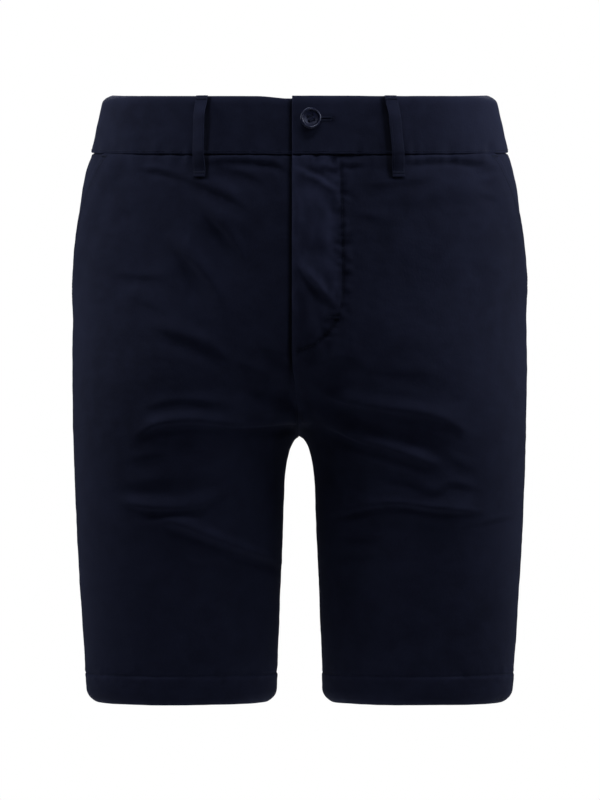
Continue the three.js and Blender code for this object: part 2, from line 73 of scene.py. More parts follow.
CLOTH = 1.0  # what the shell is thick
BAND_CLOTH = 2.0
FLY_CLOTH = 0.8  # what the fly's facing adds
MOUTH_CLOTH = 0.6  # what the pocket's turned edge adds
HEM_CLOTH = 1.0
BAND_PROUD = 0.9
FLY_EDGE = -6.5
FLY_END = 208.0
FLY_STEP = 2.2
BAND_STEP = 2.7
BAND_SINK = 1.9  # how much lower the right half's top edge lies where it goes under the left
POCKET_SETBACK = 66.0
POCKET_BOTTOM = 196.0
POCKET_STEP = 2.2  # from the facing's face to the slanted edge over it
FACING_END = 208.0
INSEAM_TUCK = 268.0  # below here the fronts' inner edge is sewn
FACING_UNDER = 14.0
HEM_LINE = OUTSEAM - 25.0
PANEL_TOP = 50.3
SEAM_DEPTH = 2.4  # how far a seam's turned-in edges reach inwards
FORK_OVERLAP = 0.7  # how far the left front passes the centre above the crotch
WAIST_TUCK = {"top": 46.5, "depth": 2.4}  # the panels' upper edge, hidden behind the band
UNDER_PANEL = 3.0  # how far the right front and the right band reach under the left at the fly
UNDER_BAND = 34.0
TOP_RISE = 0.25  # share of a form's upward part that is kept at the top edge
HEM_SWELL = 0.4
FLY_RIDGE = {"height": 0.7, "middle": 2.5, "width": 3.0}  # along the left front's edge
PUCKER_REACH = {"hem": 8.0, "waist": 9.0, "fly": 7.0}

# Where each form comes in or fades out, from the first place to the second. In drops:
FADES = {
    "top_rise": (0, 14),
    "fly_turn": (FLY_END + 10, CROTCH_DROP - 8),
    "under_ends": (POCKET_BOTTOM, FLY_END),
    "lap_ends": (FLY_END + 3, FLY_END + 55),
    "facing_sinks": (150, 195),
    "tuck_ends": (BAND_HEIGHT - 0.9, BAND_HEIGHT + 0.7),
    "pocket_below": (FACING_END + 8, 245),
    "side_seam": (POCKET_BOTTOM, POCKET_BOTTOM + 14),
    "inseam": (FLY_END + 30, CROTCH_DROP),
    "fly_low": (180, 200),
    "sink_drop": (0, 22),
    # in drops from the hem's stitching, the loop's end, the fly's fold and the nearest fine rows
    "hem_swell": (-0.6, 1.6),
    "hem_double": (-0.5, 0.5),
    "loop_end": (-1, 2.5),
    "above_fold": (-6, 4),
    "fine_rows": (0, 26),
    # in x
    "centre_turn": (0, 5),
    "lap_over": (4, 40),  # beyond the underlap
    "lap_under": (-42, -9),
    "fly_facing": (30, 38),
    "placket": (31, 36),
    "sink_x": (8, 36),
    # in lengths from an edge or a seam
    "pocket_beside": (16, 44),
    "swell_centre": (7, 27),
    "swell_side": (0, 26),
    "swell_back": (2, 22),
    "crease_edge": (0.5, 5),
    "crease_side": (0, 14),
    "crease_back": (0, 10),
    "fly_double": (18, 26),
    "mouth_double": (6, 12),
    # in shares of a belt loop from its top
    "loop_leaves": (0.03, 0.27),
    "loop_lands": (0.7, 0.95),
}
# Grooves along seams and stitching: depth and width
GROOVES = {
    "seam": (0.7, 1.7),
    "hem": (0.6, 1.1),
    "fly_stitch": (1.0, 1.3),
    "fly": (1.3, 2.2),
    "band_fly": (1.0, 2.0),
    "band_edge": (0.4, 1.0),
}
GROOVE_ASIDE = 1.0  # how far beyond the left side's edge the fly's groove lies on the right
# Smooth unevenness: height, how much closer it is along x and along drop, size and seed
RIPPLES = {
    "cloth": (0.45, 1, 1, 26.0, 3.7),
    "fine": (0.2, 1, 1.6, 9.0, 7.7),
    "hem": (0.8, 1.5, 1, 7.0, 8.1),
    "waist": (1.5, 1.6, 0.5, 9.0, 12.6),
    "fly_stitch": (2.7, 1, 1.3, 7.0, 5.2),
    "fly_facing": (2.2, 1.5, 0.6, 12.0, 9.4),
    "band_front": (0.8, 1, 0.45, 24.0, 61.0),
    "band_back": (0.8, 1, 0.45, 24.0, 62.0),
    "band_fine": (0.2, 1, 1, 8.0, 66.0),
}
CREASE_GAIN = 2.0
CREASE_FADE = {"longest": 18.0, "share": 0.45}
PINCH = {"depth": 0.3, "sharpness": 2.2}
SWELL_END = 3.2

# Wear and painted light: rubbed edges, and painted shade in crevices as its strength and width
RUBBED = 2.2
HEM_RUB = 1.5  # below the hem's stitching
PAINTED_SHADES = {
    "fly_stitch": (0.8, 1.2),
    "fly": (1.4, 2.0),
    "band_fly": (1.4, 1.8),
    "buttonhole": (0.7, 0.8),
}
FLY_LOW_SHADE = {"dark": 0.2, "width": 0.3}  # what the stitching's lower end adds to its painted shade
PAINTED_SHADE_ASIDE = 0.8  # how far beyond the left side's edge the painted shade is darkest
# A painted highlight on the fly's placket, above the fold line given next
PLACKET_PAINTED_HIGHLIGHT = 1.6
PLACKET_FOLD = {"x": -4.0, "reach": 37.0, "top": 147.0, "bottom": 185.0}
# Painted shadow beside and under the front belt loops
LOOP_SHADOW_BESIDE = {"dark": 1.3, "left": 2.6, "right": 1.6, "overlap": 0.4}
LOOP_SHADOW_UNDER = {"dark": 0.8, "share": 0.45}

# Fineness of the meshes
CURVE_STEPS = 700
PIVOT = 0.36  # share of the half width where the columns don't lean at the fork
PIVOT_ROOM = 8
EDGE_STEPS = np.array([0.0, 0.35, 0.9, 1.8])
EDGE_ZONE = 3.0
EDGE_TUCK = 0.7
ROW_STEP = {"fine": 0.5, "coarse": 2.1, "band": 1.7}
HEM_ROWS = {"above": 6, "near": 8}  # rows draw closer towards the hem's stitching
INNER_COLUMNS = 42
OUTER_COLUMNS = 72
FACING_COLUMNS = 16
BAND_COLUMNS = {"front": 130, "back": 120}

# Sewing
THREAD = 0.62
STITCH_PITCH = 3.2
STITCH_LENGTH = 2.7
BAND_STITCH = 2.4  # from the band's lower edge
BAND_START = 2.5  # from its edge at the fly
POCKET_STITCH = 6.5  # from the slanted edge
POCKET_BARS = (53.0, 192.0)
BAR_START = 0.6  # from the slanted edge
SEWING_POINTS = {"hem": 160, "band": 200, "path": 120}
SEWING_END = 1.5
STITCH_RISE = 0.05
# A short thread, one unit long and thick: its rings as (place along it, radius)
THREAD_RINGS = ((-0.5, 0.28), (-0.38, 0.46), (0.0, 0.5), (0.38, 0.46), (0.5, 0.28))
THREAD_SIDES = 6
# The fly's stitching as (x, drop), down from the waist seam and round to the left edge
FLY_STITCH = (
    (35.2, 52.5),
    (36.6, 110.0),
    (37.5, 160.0),
    (36.2, 176.0),
    (33.5, 185.1),
    (29.2, 195.3),
    (20.7, 205.5),
    (10.5, 213.0),
    (-2.0, 216.8),
)
FLY_BARS = (((22.0, 189.0), (34.0, 189.0)), ((-2.5, 214.5), (-2.5, 221.0)))
BAR = {"width": 1.9, "pitch": 0.42, "slant": 0.35, "rise": 0.12, "thread": 0.5, "round": 0.9}

LOOP = {"width": 10.5, "cloth": 1.8, "top": 1.0, "bottom": 70.0, "stand": 7.2, "seat": 0.4}
LOOP_STEPS = 90
LOOP_SIDES = 28
LOOP_SMOOTHING = 6
LOOP_STITCH = {"inset": 1.5, "thread": 0.42, "sunk": 0.12, "groove": 0.18, "width": 0.5}
LOOP_BARS = (0.045, 0.94)
LOOP_BAR = {"inset": 0.4, "rise": 0.05}
LOOP_TUCK = {"share": 0.55, "reach": 0.008}
LOOP_SQUARE = {"wide": 0.35, "high": 0.55}
LOOP_CROWN = 0.1
LOOP_WEAR = {"strength": 0.4, "power": 8}
LOOP_JITTER = {"height": 0.12, "rate": 9, "seed": 3.0}
# Name, side of the body, x at the top, sideways lean and twist of the free part
LOOPS = (
    ("belt_loop_front_right", "front", -83.4, -1.7, 0.3),
    ("belt_loop_front_left", "front", 77.6, 6.6, -0.12),
    ("belt_loop_side_right", "back", -88.0, 0.0, -0.1),
    ("belt_loop_side_left", "back", 88.0, 0.0, 0.14),
    ("belt_loop_back", "back", 0.0, 0.0, 0.1),
)

BUTTON = {"x": 9.0, "drop": 20.0, "radius": 9.1, "turn": 0.3, "stand": 2.5, "tilt": 0.24}
RIM = {"top": 3.2, "half": 1.15, "rise": 1.1, "steps": 12, "sweep": 1.18 * math.pi, "start": -0.35}
WELL = {"height": 1.7, "edge": 3.3, "foot": 3.9, "middle": 2.0, "dip": 0.15, "step": 0.25}
BUTTON_BACK = {"flat": 2.4, "edge": 0.9, "step": 0.35}
HOLE = {"radius": 1.2, "spread": 1.95, "sides": 20, "below": -2}
BUTTON_SIDES = 64
BUTTON_SHARP = math.radians(38)
CROSS_THREADS = {"count": 4, "pitch": 0.36, "length": 4.6, "thick": 0.42, "rise": 0.12}
SHANK_THREADS = {"count": 5, "radius": 0.7, "sunk": 0.5, "lean": 0.1, "longer": 2.2, "thick": 0.7}
BUTTONHOLE = {"eye": 2.3, "half": 0.35, "length": 18.5, "edge": 1.8, "shadow": 0.9}
BUTTONHOLE_THREADS = {"pitch": 0.42, "reach": 0.2, "thick": 0.46, "round": 1.1, "rise": 0.1}
BUTTONHOLE_BAR = {"beyond": 0.8, "over": 1.0, "width": 1.4}
SLOT_STEPS = {"eye": 16, "end": 8}
SLOT_CLEAR = 1.5

# Colours and weave
NAVY_DEEP = (0.0044, 0.0050, 0.0111, 1.0)
NAVY = (0.0071, 0.0081, 0.0180, 1.0)
NAVY_LIGHT = (0.0099, 0.0116, 0.0252, 1.0)
# Painted shade: a near black for crevices along the fly, round the buttonhole and beside and under the front
# belt loops
NAVY_PAINTED_SHADE = (0.0012, 0.0013, 0.0030, 1.0)
# Rubbed edges, and the painted highlight on the fly's placket
NAVY_WORN_AND_HIGHLIGHT = (0.0120, 0.0136, 0.0296, 1.0)
THREAD_DEEP = (0.0034, 0.0040, 0.0096, 1.0)
THREAD_LIGHT = (0.0060, 0.0072, 0.0172, 1.0)
BUTTON_DEEP = (0.0026, 0.0032, 0.0100, 1.0)
BUTTON_LIGHT = (0.0054, 0.0066, 0.0200, 1.0)
SHINE = (0.6, 0.72, 1.0, 1.0)
BUTTON_SHINE = (0.72, 0.76, 1.0, 1.0)
SHEEN = (0.46, 0.52, 0.95, 1.0)
FLOOR_GREY = (0.93, 0.93, 0.93, 1.0)
FLOOR_WHITE = (0.97, 0.97, 0.97, 1.0)
TWILL_ANGLE = math.radians(63)
TWILL_SCALE = 449.0  # one rib every 0.7 mm

# Stage, in metres and watts
FLOOR_Z = -0.72
FLOOR_RADIUS = 1.0
FLOOR_SIDES = 128
MIDDLE = Vector((0.0, 0.0, -0.23))
BACKDROP = (1.0, 1.0, 1.0, 1.0)
FILL = {"color": (0.92, 0.95, 1.0, 1.0), "strength": 0.008}
LAMP_TINT = (0.93, 0.96, 1.0)
SOFT_BOXES = (
    ("key", (0.0, -0.45, 0.8), (0.6, 0.18), 6.8),
    ("front", (0.0, -1.2, 0.6), (0.6, 0.3), 1.5),
    ("left_high", (-0.7, -0.1, 0.22), (0.3, 0.3), 4.7),
    ("right_high", (0.7, -0.1, 0.2), (0.3, 0.3), 4.4),
    ("right_front", (0.8, -0.6, 0.5), (0.3, 0.3), 2.7),
    ("left_side", (-0.85, 0.35, 0.1), (0.4, 0.4), 1.2),
    ("right_side", (0.85, 0.35, 0.1), (0.4, 0.4), 1.4),
    ("back_key", (0.0, 0.6, 0.8), (0.6, 0.18), 3.5),
    ("behind", (0.0, 1.0, 0.45), (0.7, 0.3), 9.0),
)
CAMERA_AT = (0.0003, -4.5, -0.2341)
LENS = 232.76
SENSOR = 36.0

SECTION_COLUMNS = ("drop", "side", "front", "back", "square")
SECTIONS = (
    (0, 169.6, 92.0, 97, 2.45),
    (25, 175.2, 94.5, 99, 2.45),
    (50, 180.2, 97.0, 102, 2.42),
    (58, 183.6, 98.6, 105, 2.4),
    (66, 186.0, 99.8, 108, 2.38),
    (82, 189.4, 101.6, 113, 2.36),
    (107, 192.8, 103.5, 120, 2.33),
    (140, 195.6, 104.8, 127, 2.3),
    (175, 197.4, 105.0, 131, 2.26),
    (224, 198.3, 103.0, 131, 2.22),
    (259, 197.9, 100.5, 124, 2.2),
    (294, 197.1, 97.0, 113, 2.18),
    (364, 194.4, 88.5, 95, 2.14),
    (433, 190.5, 79.5, 83, 2.12),
    (503, 185.7, 70.5, 74.5, 2.1),
    (521, 184.3, 68.0, 72, 2.1),
)
SECTION = {key: np.array([row[i] for row in SECTIONS], float) for i, key in enumerate(SECTION_COLUMNS)}

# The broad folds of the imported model: x0, drop0, x1, drop1, bow, above, below, height
FRONT_SWELLS = (
    (-104, 76, -22, 112, 0, 22, 20, 1.8),
    (-124, 128, -52, 204, -6, 26, 24, 2.6),
    (-152, 292, -12, 272, -9, 24, 20, 3.6),
    (-160, 350, -62, 350, 4, 22, 18, 2.4),
    (-136, 366, -22, 404, -8, 22, 20, 3.0),
    (58, 82, 176, 72, 4, 20, 16, 1.8),
    (14, 254, 156, 292, -8, 24, 20, 3.6),
    (18, 300, 128, 330, -5, 20, 18, 2.6),
    (36, 350, 176, 360, -6, 22, 18, 3.0),
)
BACK_SWELLS = (
    (-160, 232, -22, 262, -8, 24, 20, 3.0),
    (-146, 284, -20, 300, -7, 22, 20, 3.2),
    (22, 258, 160, 230, -8, 24, 20, 2.8),
    (24, 298, 142, 282, -7, 22, 20, 3.2),
)

# Creases: how wide and how deep, then the line where the cloth turns as points (x, drop).
# A depth above 0 faces down there, under a ridge, and one below 0 faces up, over a ridge.
FRONT_CREASES = (
    (2.6, 1.3, (-137, 64), (-121, 65), (-99, 71)),
    (5.0, 1.6, (-102, 72), (-86, 77), (-72, 83), (-58, 90), (-45, 99)),
    (2.8, 1.5, (-80, 57), (-36, 57), (-18, 60), (-9, 66)),
    (3.5, 0.9, (-76, 61), (-52, 66), (-30, 75)),
    (4.0, -0.6, (-80, 67), (-44, 82)),
    (7.0, 3.0, (-80, 105), (-66, 118), (-50, 138)),
    (8.0, 3.6, (-110, 132), (-96, 143), (-82, 159), (-68, 176)),
    (4.0, 0.5, (-158, 95), (-142, 104)),
    (4.5, 0.7, (-160, 154), (-116, 158)),
    (5.0, 0.7, (-145, 173), (-116, 186)),
    (6.0, 2.0, (-121, 202), (-98, 209), (-82, 215), (-62, 227)),
    (4.0, 0.9, (-33, 217), (-18, 223), (-4, 231)),
    (4.0, 1.2, (-50, 232), (-15, 244)),
    (4.0, 0.9, (-134, 270), (-112, 263), (-62, 264)),
    (4.2, 2.0, (-137, 292), (-123, 284), (-98, 280), (-53, 283), (8, 279)),
    (7.0, -3.8, (-44, 258), (-18, 262), (10, 268)),
    (4.5, -0.6, (-128, 275), (-98, 271), (-60, 274)),
    (4.5, 0.7, (-146, 313), (-111, 306)),
    (4.0, 0.6, (-100, 303), (-66, 304)),
    (5.0, 0.8, (-146, 333), (-101, 329)),
    (3.4, 0.9, (-100, 396), (-84, 399), (-72, 397)),
    (4.5, -0.9, (-154, 341), (-115, 344), (-91, 341), (-66, 332)),
    (3.4, 1.7, (-150, 350), (-122, 354), (-88, 352), (-64, 342)),
    (5.0, -1.0, (-150, 365), (-128, 361), (-98, 358), (-77, 370), (-35, 389)),
    (3.8, 2.2, (-113, 365), (-91, 373), (-64, 384), (-18, 403)),
    (5.0, -0.5, (-111, 380), (-88, 386)),
    (2.6, 1.6, (88, 58), (130, 56), (162, 60)),
    (3.0, 0.7, (150, 66), (170, 64)),
    (2.2, 1.1, (36, 60), (57, 59)),
    (2.4, 1.1, (17, 62), (34, 64)),
    (4.5, 1.0, (56, 80), (87, 76), (114, 73)),
    (5.0, 0.7, (44, 103), (74, 107)),
    (3.0, 0.5, (152, 76), (172, 72)),
    (3.0, 0.5, (153, 86), (171, 90)),
    (5.0, -0.8, (0, 222), (15, 227), (30, 216)),
    (6.0, 0.9, (10, 234), (26, 230), (44, 227), (60, 242)),
    (7.0, 0.6, (60, 239), (116, 241)),
    (5.0, -0.9, (18, 252), (39, 252), (59, 257), (119, 266)),
    (4.2, 1.5, (25, 260), (47, 264), (67, 268), (104, 274), (120, 278), (139, 288)),
    (6.0, -2.0, (10, 260), (53, 283), (81, 295), (118, 308)),
    (4.4, 1.8, (24, 284), (53, 296), (81, 304), (96, 310), (117, 318)),
    (5.0, 0.8, (125, 311), (149, 321)),
    (4.0, 0.9, (69, 327), (90, 326), (112, 339), (129, 333), (153, 338)),
    (4.0, -0.8, (50, 341), (73, 344), (92, 341)),
    (4.0, -0.7, (112, 346), (142, 346)),
    (2.6, 1.7, (30, 359), (54, 353), (76, 349), (114, 353), (153, 357)),
    (2.2, 1.2, (150, 367), (175, 362), (186, 361)),
    (4.0, 1.0, (28, 375), (50, 377), (72, 377)),
    (4.0, 0.9, (34, 391), (52, 391), (73, 390)),
    (5.0, -1.2, (66, 484), (82, 474), (99, 464)),
    (4.0, 2.4, (-4, 146), (14, 165), (33, 185)),
    (2.6, -1.9, (-3, 62), (17, 70), (33, 80)),
)
BACK_CREASES = (
    (6.5, 1.5, (-150, 236), (-104, 246), (-58, 258), (-20, 264)),
    (4.0, -0.7, (-96, 256), (-62, 266), (-34, 272)),
    (5.0, 1.0, (-128, 276), (-84, 272), (-28, 288)),
    (5.5, 0.9, (-146, 300), (-116, 293), (-90, 294)),
    (4.0, 1.1, (-70, 300), (-44, 303), (-22, 300)),
    (4.5, -0.7, (-118, 324), (-92, 317), (-60, 326)),
    (4.0, 0.7, (-150, 358), (-120, 350), (-96, 352)),
    (4.0, 0.7, (-60, 66), (-28, 62), (-8, 68)),
    (6.5, 1.4, (26, 258), (60, 250), (108, 240), (150, 226)),
    (4.0, -0.8, (60, 268), (92, 262), (118, 250)),
    (5.0, 1.0, (30, 286), (74, 280), (124, 262)),
    (4.0, 1.2, (22, 306), (46, 299), (70, 298)),
    (5.5, 0.8, (96, 296), (120, 290), (146, 294)),
    (4.5, -0.7, (52, 326), (88, 322), (112, 330)),
    (4.0, 0.7, (74, 352), (100, 346), (150, 356)),
    (4.0, 0.7, (10, 70), (40, 63), (72, 66)),
)


def clamp01(u):
    return np.clip(u, 0.0, 1.0)


def mix(a, b, u):
    return a + (b - a) * u


def ease(start, end, value):
    """0 before start, 1 after end, and smooth between them."""
    u = clamp01((np.asarray(value, float) - start) / (end - start))
    return u * u * (3 - 2 * u)


def fade(kind, value):
    return ease(*FADES[kind], value)


def bell(v):
    return np.exp(-(v * v))


def unit(v):
    return v / np.linalg.norm(v, axis=-1, keepdims=True)


def hermite(start, end, slopes, step, u):
    """A smooth curve from one value to the next, with a slope at each."""
    u2 = u * u
    u3 = u2 * u
    return (
        start * (2 * u3 - 3 * u2 + 1)
        + slopes[0] * step * (u3 - 2 * u2 + u)
        + end * (3 * u2 - 2 * u3)
        + slopes[1] * step * (u3 - u2)
    )


def lengths_along(points):
    """The length along a line of points, at each of them."""
    return np.concatenate([[0], np.cumsum(np.linalg.norm(np.diff(points, axis=0), axis=1))])


def place_along(points, lengths, at):
    """The places at some lengths along a line of points."""
    return np.array([np.interp(at, lengths, column) for column in np.transpose(points)])


# The body surface, for the half at +X


def section(key, drop):
    """One column of SECTIONS at each drop, smooth through every row."""
    x = SECTION["drop"]
    y = SECTION[key]
    slope = np.empty_like(y)
    slope[1:-1] = (y[2:] - y[:-2]) / (x[2:] - x[:-2])
    slope[0] = (y[1] - y[0]) / (x[1] - x[0])
    slope[-1] = (y[-1] - y[-2]) / (x[-1] - x[-2])
    drop = np.asarray(drop, float)
    i = np.clip(np.searchsorted(x, drop, side="right") - 1, 0, len(x) - 2)
    step = x[i + 1] - x[i]
    return hermite(y[i], y[i + 1], (slope[i], slope[i + 1]), step, (drop - x[i]) / step)


ARCH_SLOPE = ARCH_HALF**2 / (2 * WEB * ARCH_HEIGHT)
FORK_REACH = math.hypot(float(section("side", CROTCH_DROP)), WEB) - WEB
FORK_SLOPE = 4 * ARCH_SLOPE * (CROTCH_DROP - FORK_DROP) / FORK_REACH


def oval(drop):
    """Centre, half axes and exponent of one half's section at each drop."""
    drop = np.asarray(drop, float)
    side = np.hypot(section("side", drop), WEB)
    front = section("front", drop)
    back = section("back", drop)
    below = np.maximum(drop - CROTCH_DROP, 0)
    rise = 1 - np.minimum(1, below / ARCH_HEIGHT)
    gap = ARCH_HALF * np.sqrt(1 - rise * rise) + LEG_SPREAD * np.maximum(0, below - ARCH_HEIGHT)
    s = clamp01((drop - FORK_DROP) / (CROTCH_DROP - FORK_DROP))
    parted = (3 - FORK_SLOPE) * s**2 + (FORK_SLOPE - 2) * s**3
    joined = (WEB + parted * side) / (1 + parted)
    cx = np.where(drop >= CROTCH_DROP, (side + np.hypot(gap, WEB)) / 2, joined)
    return cx, (back - front) / 2, side - cx, (front + back) / 2, section("square", drop)


def waist_lift(y, drop):
    fade = 1 - ease(BAND_HEIGHT, LIFT_END_DROP, drop)
    behind = clamp01(y / WAIST_DEPTH)
    ahead = SIDE_LIFT * (1 + y / WAIST_DEPTH)
    return np.where(y < 0, ahead, SIDE_LIFT + BACK_LIFT * behind * (2 - behind)) * fade


def outside(x, y, drop):
    cx, cy, a, b, n = oval(drop)
    u = np.abs(np.hypot(x, WEB) - cx) / a
    v = np.abs(y - cy) / b
    return u**n + v**n - 1


def outward(x, y, drop):
    """The body surface's outward direction at each point."""
    h = 0.05
    dx = outside(x + h, y, drop) - outside(x - h, y, drop)
    dy = outside(x, y + h, drop) - outside(x, y - h, drop)
    dd = outside(x, y, drop + h) - outside(x, y, drop - h)
    tilt = (waist_lift(y + h, drop) - waist_lift(y - h, drop)) / (2 * h)
    out = np.stack([dx, dy + dd * tilt, -dd], axis=-1)
    return out / np.linalg.norm(out, axis=-1, keepdims=True)


def row_curve(face, drop):
    """Points of one row of the half at +X and the length along them."""
    cx, cy, a, b, n = (float(v) for v in oval(drop))
    reach = min(1.0, (cx - WEB) / a)
    inner = math.pi - math.acos(reach ** (n / 2))
    ends = (-inner, SIDE_SEAM_TURN) if face == "front" else (SIDE_SEAM_TURN, inner)
    angle = np.linspace(*ends, CURVE_STEPS)
    c, s = np.cos(angle), np.sin(angle)
    wide = cx + a * np.sign(c) * np.abs(c) ** (2 / n)
    x = np.sqrt(np.maximum(0, wide**2 - WEB**2))
    y = cy + b * np.sign(s) * np.abs(s) ** (2 / n)
    return x, y, lengths_along(np.stack([x, y], axis=1))


def lip_at(lip, from_edge, sideways):
    """How far a rounded edge is drawn in, and its slope."""
    u = clamp01(1 - from_edge / lip["height"]) * LIP_TURN
    depth = lip["inset"] + lip["side_inset"] * sideways**2
    full = 1 - math.sqrt(1 - LIP_TURN**2)
    inset = depth * (1 - np.sqrt(1 - u * u)) / full
    slope = depth / full * (u / np.sqrt(1 - u * u)) * LIP_TURN / lip["height"]
    return inset, slope


def swell_height(swells, x, drop):
    """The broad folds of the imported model."""
    height = np.zeros_like(x)
    for x0, d0, x1, d1, bow, above, below, tall in swells:
        dx, dd = x1 - x0, d1 - d0
        reach = dx * dx + dd * dd
        u = ((x - x0) * dx + (drop - d0) * dd) / reach
        across = ((drop - d0) * dx - (x - x0) * dd) / math.sqrt(reach) - bow * 4 * u * (1 - u)
        v = np.minimum(1, np.abs(across / np.where(across < 0, above, below)))
        height += tall * (1 - v * v) ** 2 * ease(0, 1, SWELL_END * np.minimum(u, 1 - u))
    return height


def crease_height(creases, x, drop):
    """Ridge and trough either side of each crease line, fading out at its ends."""
    height = np.zeros_like(x)
    for width, depth, *line in creases:
        px, pd = np.array(line, float).T
        tangent = np.gradient(pd, px)
        i = np.clip(np.searchsorted(px, x) - 1, 0, len(px) - 2)
        step = px[i + 1] - px[i]
        u = (x - px[i]) / step
        middle = hermite(pd[i], pd[i + 1], (tangent[i], tangent[i + 1]), step, clamp01(u))
        before, after = u < 0, u > 1
        slope = np.select([before, after], [tangent[0], tangent[-1]], (pd[i + 1] - pd[i]) / step)
        middle = middle + np.select([before, after], [x - px[0], x - px[-1]], 0.0) * slope
        v = (drop - middle) / np.sqrt(1 + slope**2) / width
        reach = min(CREASE_FADE["longest"], CREASE_FADE["share"] * (px[-1] - px[0]))
        ends = ease(px[0] - reach / 2, px[0] + reach, x) * (1 - ease(px[-1] - reach, px[-1] + reach / 2, x))
        turn = 0.5 * depth * v * np.exp(0.5 * (1 - v * v))
        pinch = PINCH["depth"] * max(0.0, depth) * bell(PINCH["sharpness"] * v)
        height -= CREASE_GAIN * (turn + pinch) * ends
    return height


def ripple(kind, x, drop):
    """Smooth noise about 0 over the cloth, for slight unevenness."""
    height, closer_x, closer_drop, size, seed = RIPPLES[kind]
    columns = [x.ravel() * closer_x / size, drop.ravel() * closer_drop / size, np.full(x.size, seed)]
    values = [noise.noise(Vector(p)) for p in np.stack(columns, axis=1)]
    return height * np.array(values).reshape(x.shape)


KEPT_ROWS = {}


def kept_row(face, drop):
    key = (face, round(float(drop), 4))
    if key not in KEPT_ROWS:
        KEPT_ROWS[key] = row_curve(face, drop)
    return KEPT_ROWS[key]


def row_length(face, drop):
    return kept_row(face, drop)[2][-1]


def row_lengths(face, drops):
    return np.array([row_length(face, drop) for drop in drops])


def length_at_x(face, drop, x):
    """The length along a row where it reaches x, below 0 where x is."""
    px, _, along = kept_row(face, drop)
    widest = int(np.argmax(px))
    if face == "front":
        return math.copysign(np.interp(abs(x), px[: widest + 1], along[: widest + 1]), x)
    return float(np.interp(-x, -px[widest:], along[widest:]))


def spots(face, drops, lengths):
    """Places on the half at +X, one for each drop and length. A length below 0 is past the centre."""
    drops, lengths = np.broadcast_arrays(np.asarray(drops, float), np.asarray(lengths, float))
    x = np.empty(drops.shape)
    y = np.empty(drops.shape)
    total = np.empty(drops.shape)
    values, which = np.unique(drops, return_inverse=True)
    which = which.reshape(drops.shape)
    for k, drop in enumerate(values):
        here = which == k
        px, py, along = kept_row(face, drop)
        reach = np.abs(lengths[here])
        x[here] = np.interp(reach, along, px) * np.where(lengths[here] < 0, -1, 1)
        y[here] = np.interp(reach, along, py)
        total[here] = along[-1]
    return SimpleNamespace(x=x, y=y, drop=drops, length=lengths, total=total)


def raise_cloth(spot, side, proud):
    """The cloth's outer points and the way they face, with the rounded edges at waist and hem."""
    x, y, drop = spot.x, spot.y, spot.drop
    out = outward(x, y, drop)
    out[..., 0] *= np.where(drop < CROTCH_DROP, fade("centre_turn", np.abs(x)), 1.0)
    out = unit(out)
    flat = unit(out * (1, 1, 0))
    waist_inset, waist_slope = lip_at(WAIST_LIP, drop, flat[..., 0])
    hem_inset, hem_slope = lip_at(HEM_LIP, OUTSEAM - drop, flat[..., 0])
    turned = out.copy()
    turned[..., 2] += waist_slope - hem_slope
    turned = unit(turned)
    outer = np.stack([x, y, FRONT_TOP_Z - drop + waist_lift(y, drop)], axis=-1)
    lift = turned * np.asarray(proud)[..., None]
    lift[..., 2] *= mix(TOP_RISE, 1.0, fade("top_rise", drop))
    outer = outer - flat * (waist_inset + hem_inset)[..., None] + lift
    mirror = np.array([side, 1, 1])
    return outer * mirror, turned * mirror


# How the pieces stand out from the body surface


def fly_edge(drop):
    """The left front's edge: straight down the fly, then in to the centre seam."""
    seam = mix(FLY_EDGE, -FORK_OVERLAP, fade("fly_turn", drop))
    return np.where(np.asarray(drop) < CROTCH_DROP, seam, 0.0)


def right_start(drop):
    """The right front's edge, hidden under the left one down to the end of the fly."""
    under = mix(-UNDER_PANEL, -fly_edge(drop), fade("under_ends", drop))
    return np.where(np.asarray(drop) < CROTCH_DROP, under, 0.0)


def fly_lap(drop):
    return 1 - fade("lap_ends", drop)


def fly_proud(side, step, x, drop, under_reach):
    """The left side of the fly lies over the right."""
    near = 1 - fade("lap_over", x - under_reach) if side > 0 else fade("lap_under", x)
    return side * (step / 2) * near * fly_lap(drop)


def mouth(drop):
    """How far the pocket's slanted edge is from the side seam."""
    return POCKET_SETBACK * clamp01((POCKET_BOTTOM - drop) / (POCKET_BOTTOM - PANEL_TOP))


def facing_inset(drop):
    return mix(SEAM_GAP, POCKET_STEP, fade("facing_sinks", drop))


def path_distance(path, x, drop):
    """How far each place is from a line of points, flat."""
    nearest = np.full(np.shape(x), 1e9)
    for (x0, d0), (x1, d1) in zip(path, path[1:]):
        dx, dd = x1 - x0, d1 - d0
        u = clamp01(((x - x0) * dx + (drop - d0) * dd) / (dx * dx + dd * dd))
        nearest = np.minimum(nearest, np.hypot(x - x0 - u * dx, drop - d0 - u * dd))
    return nearest


def groove(kind, distance):
    depth, width = GROOVES[kind]
    return -depth * bell(distance / width)


def hem_shape(x, drop):
    """The hem's doubled cloth below its stitching, which draws the cloth in."""
    below = drop - HEM_LINE
    pucker = ripple("hem", x, drop) * bell(below / PUCKER_REACH["hem"])
    return HEM_SWELL * fade("hem_swell", below) + groove("hem", below) + pucker


def waist_tuck(drop):
    """The cloth turns in behind the waistband's lower edge."""
    return -WAIST_TUCK["depth"] * (1 - fade("tuck_ends", drop))


def waist_pucker(x, drop):
    """Short upright puckers where the waist seam draws the cloth in."""
    return ripple("waist", x, drop) * bell((drop - BAND_HEIGHT) / PUCKER_REACH["waist"])


def panel_cloth(x, drop):
    """What the fronts, backs and facings share: uneven cloth, the waist seam and the hem."""
    uneven = ripple("cloth", x, drop) + ripple("fine", x, drop)
    return uneven + waist_tuck(drop) + waist_pucker(x, drop) + hem_shape(x, drop)


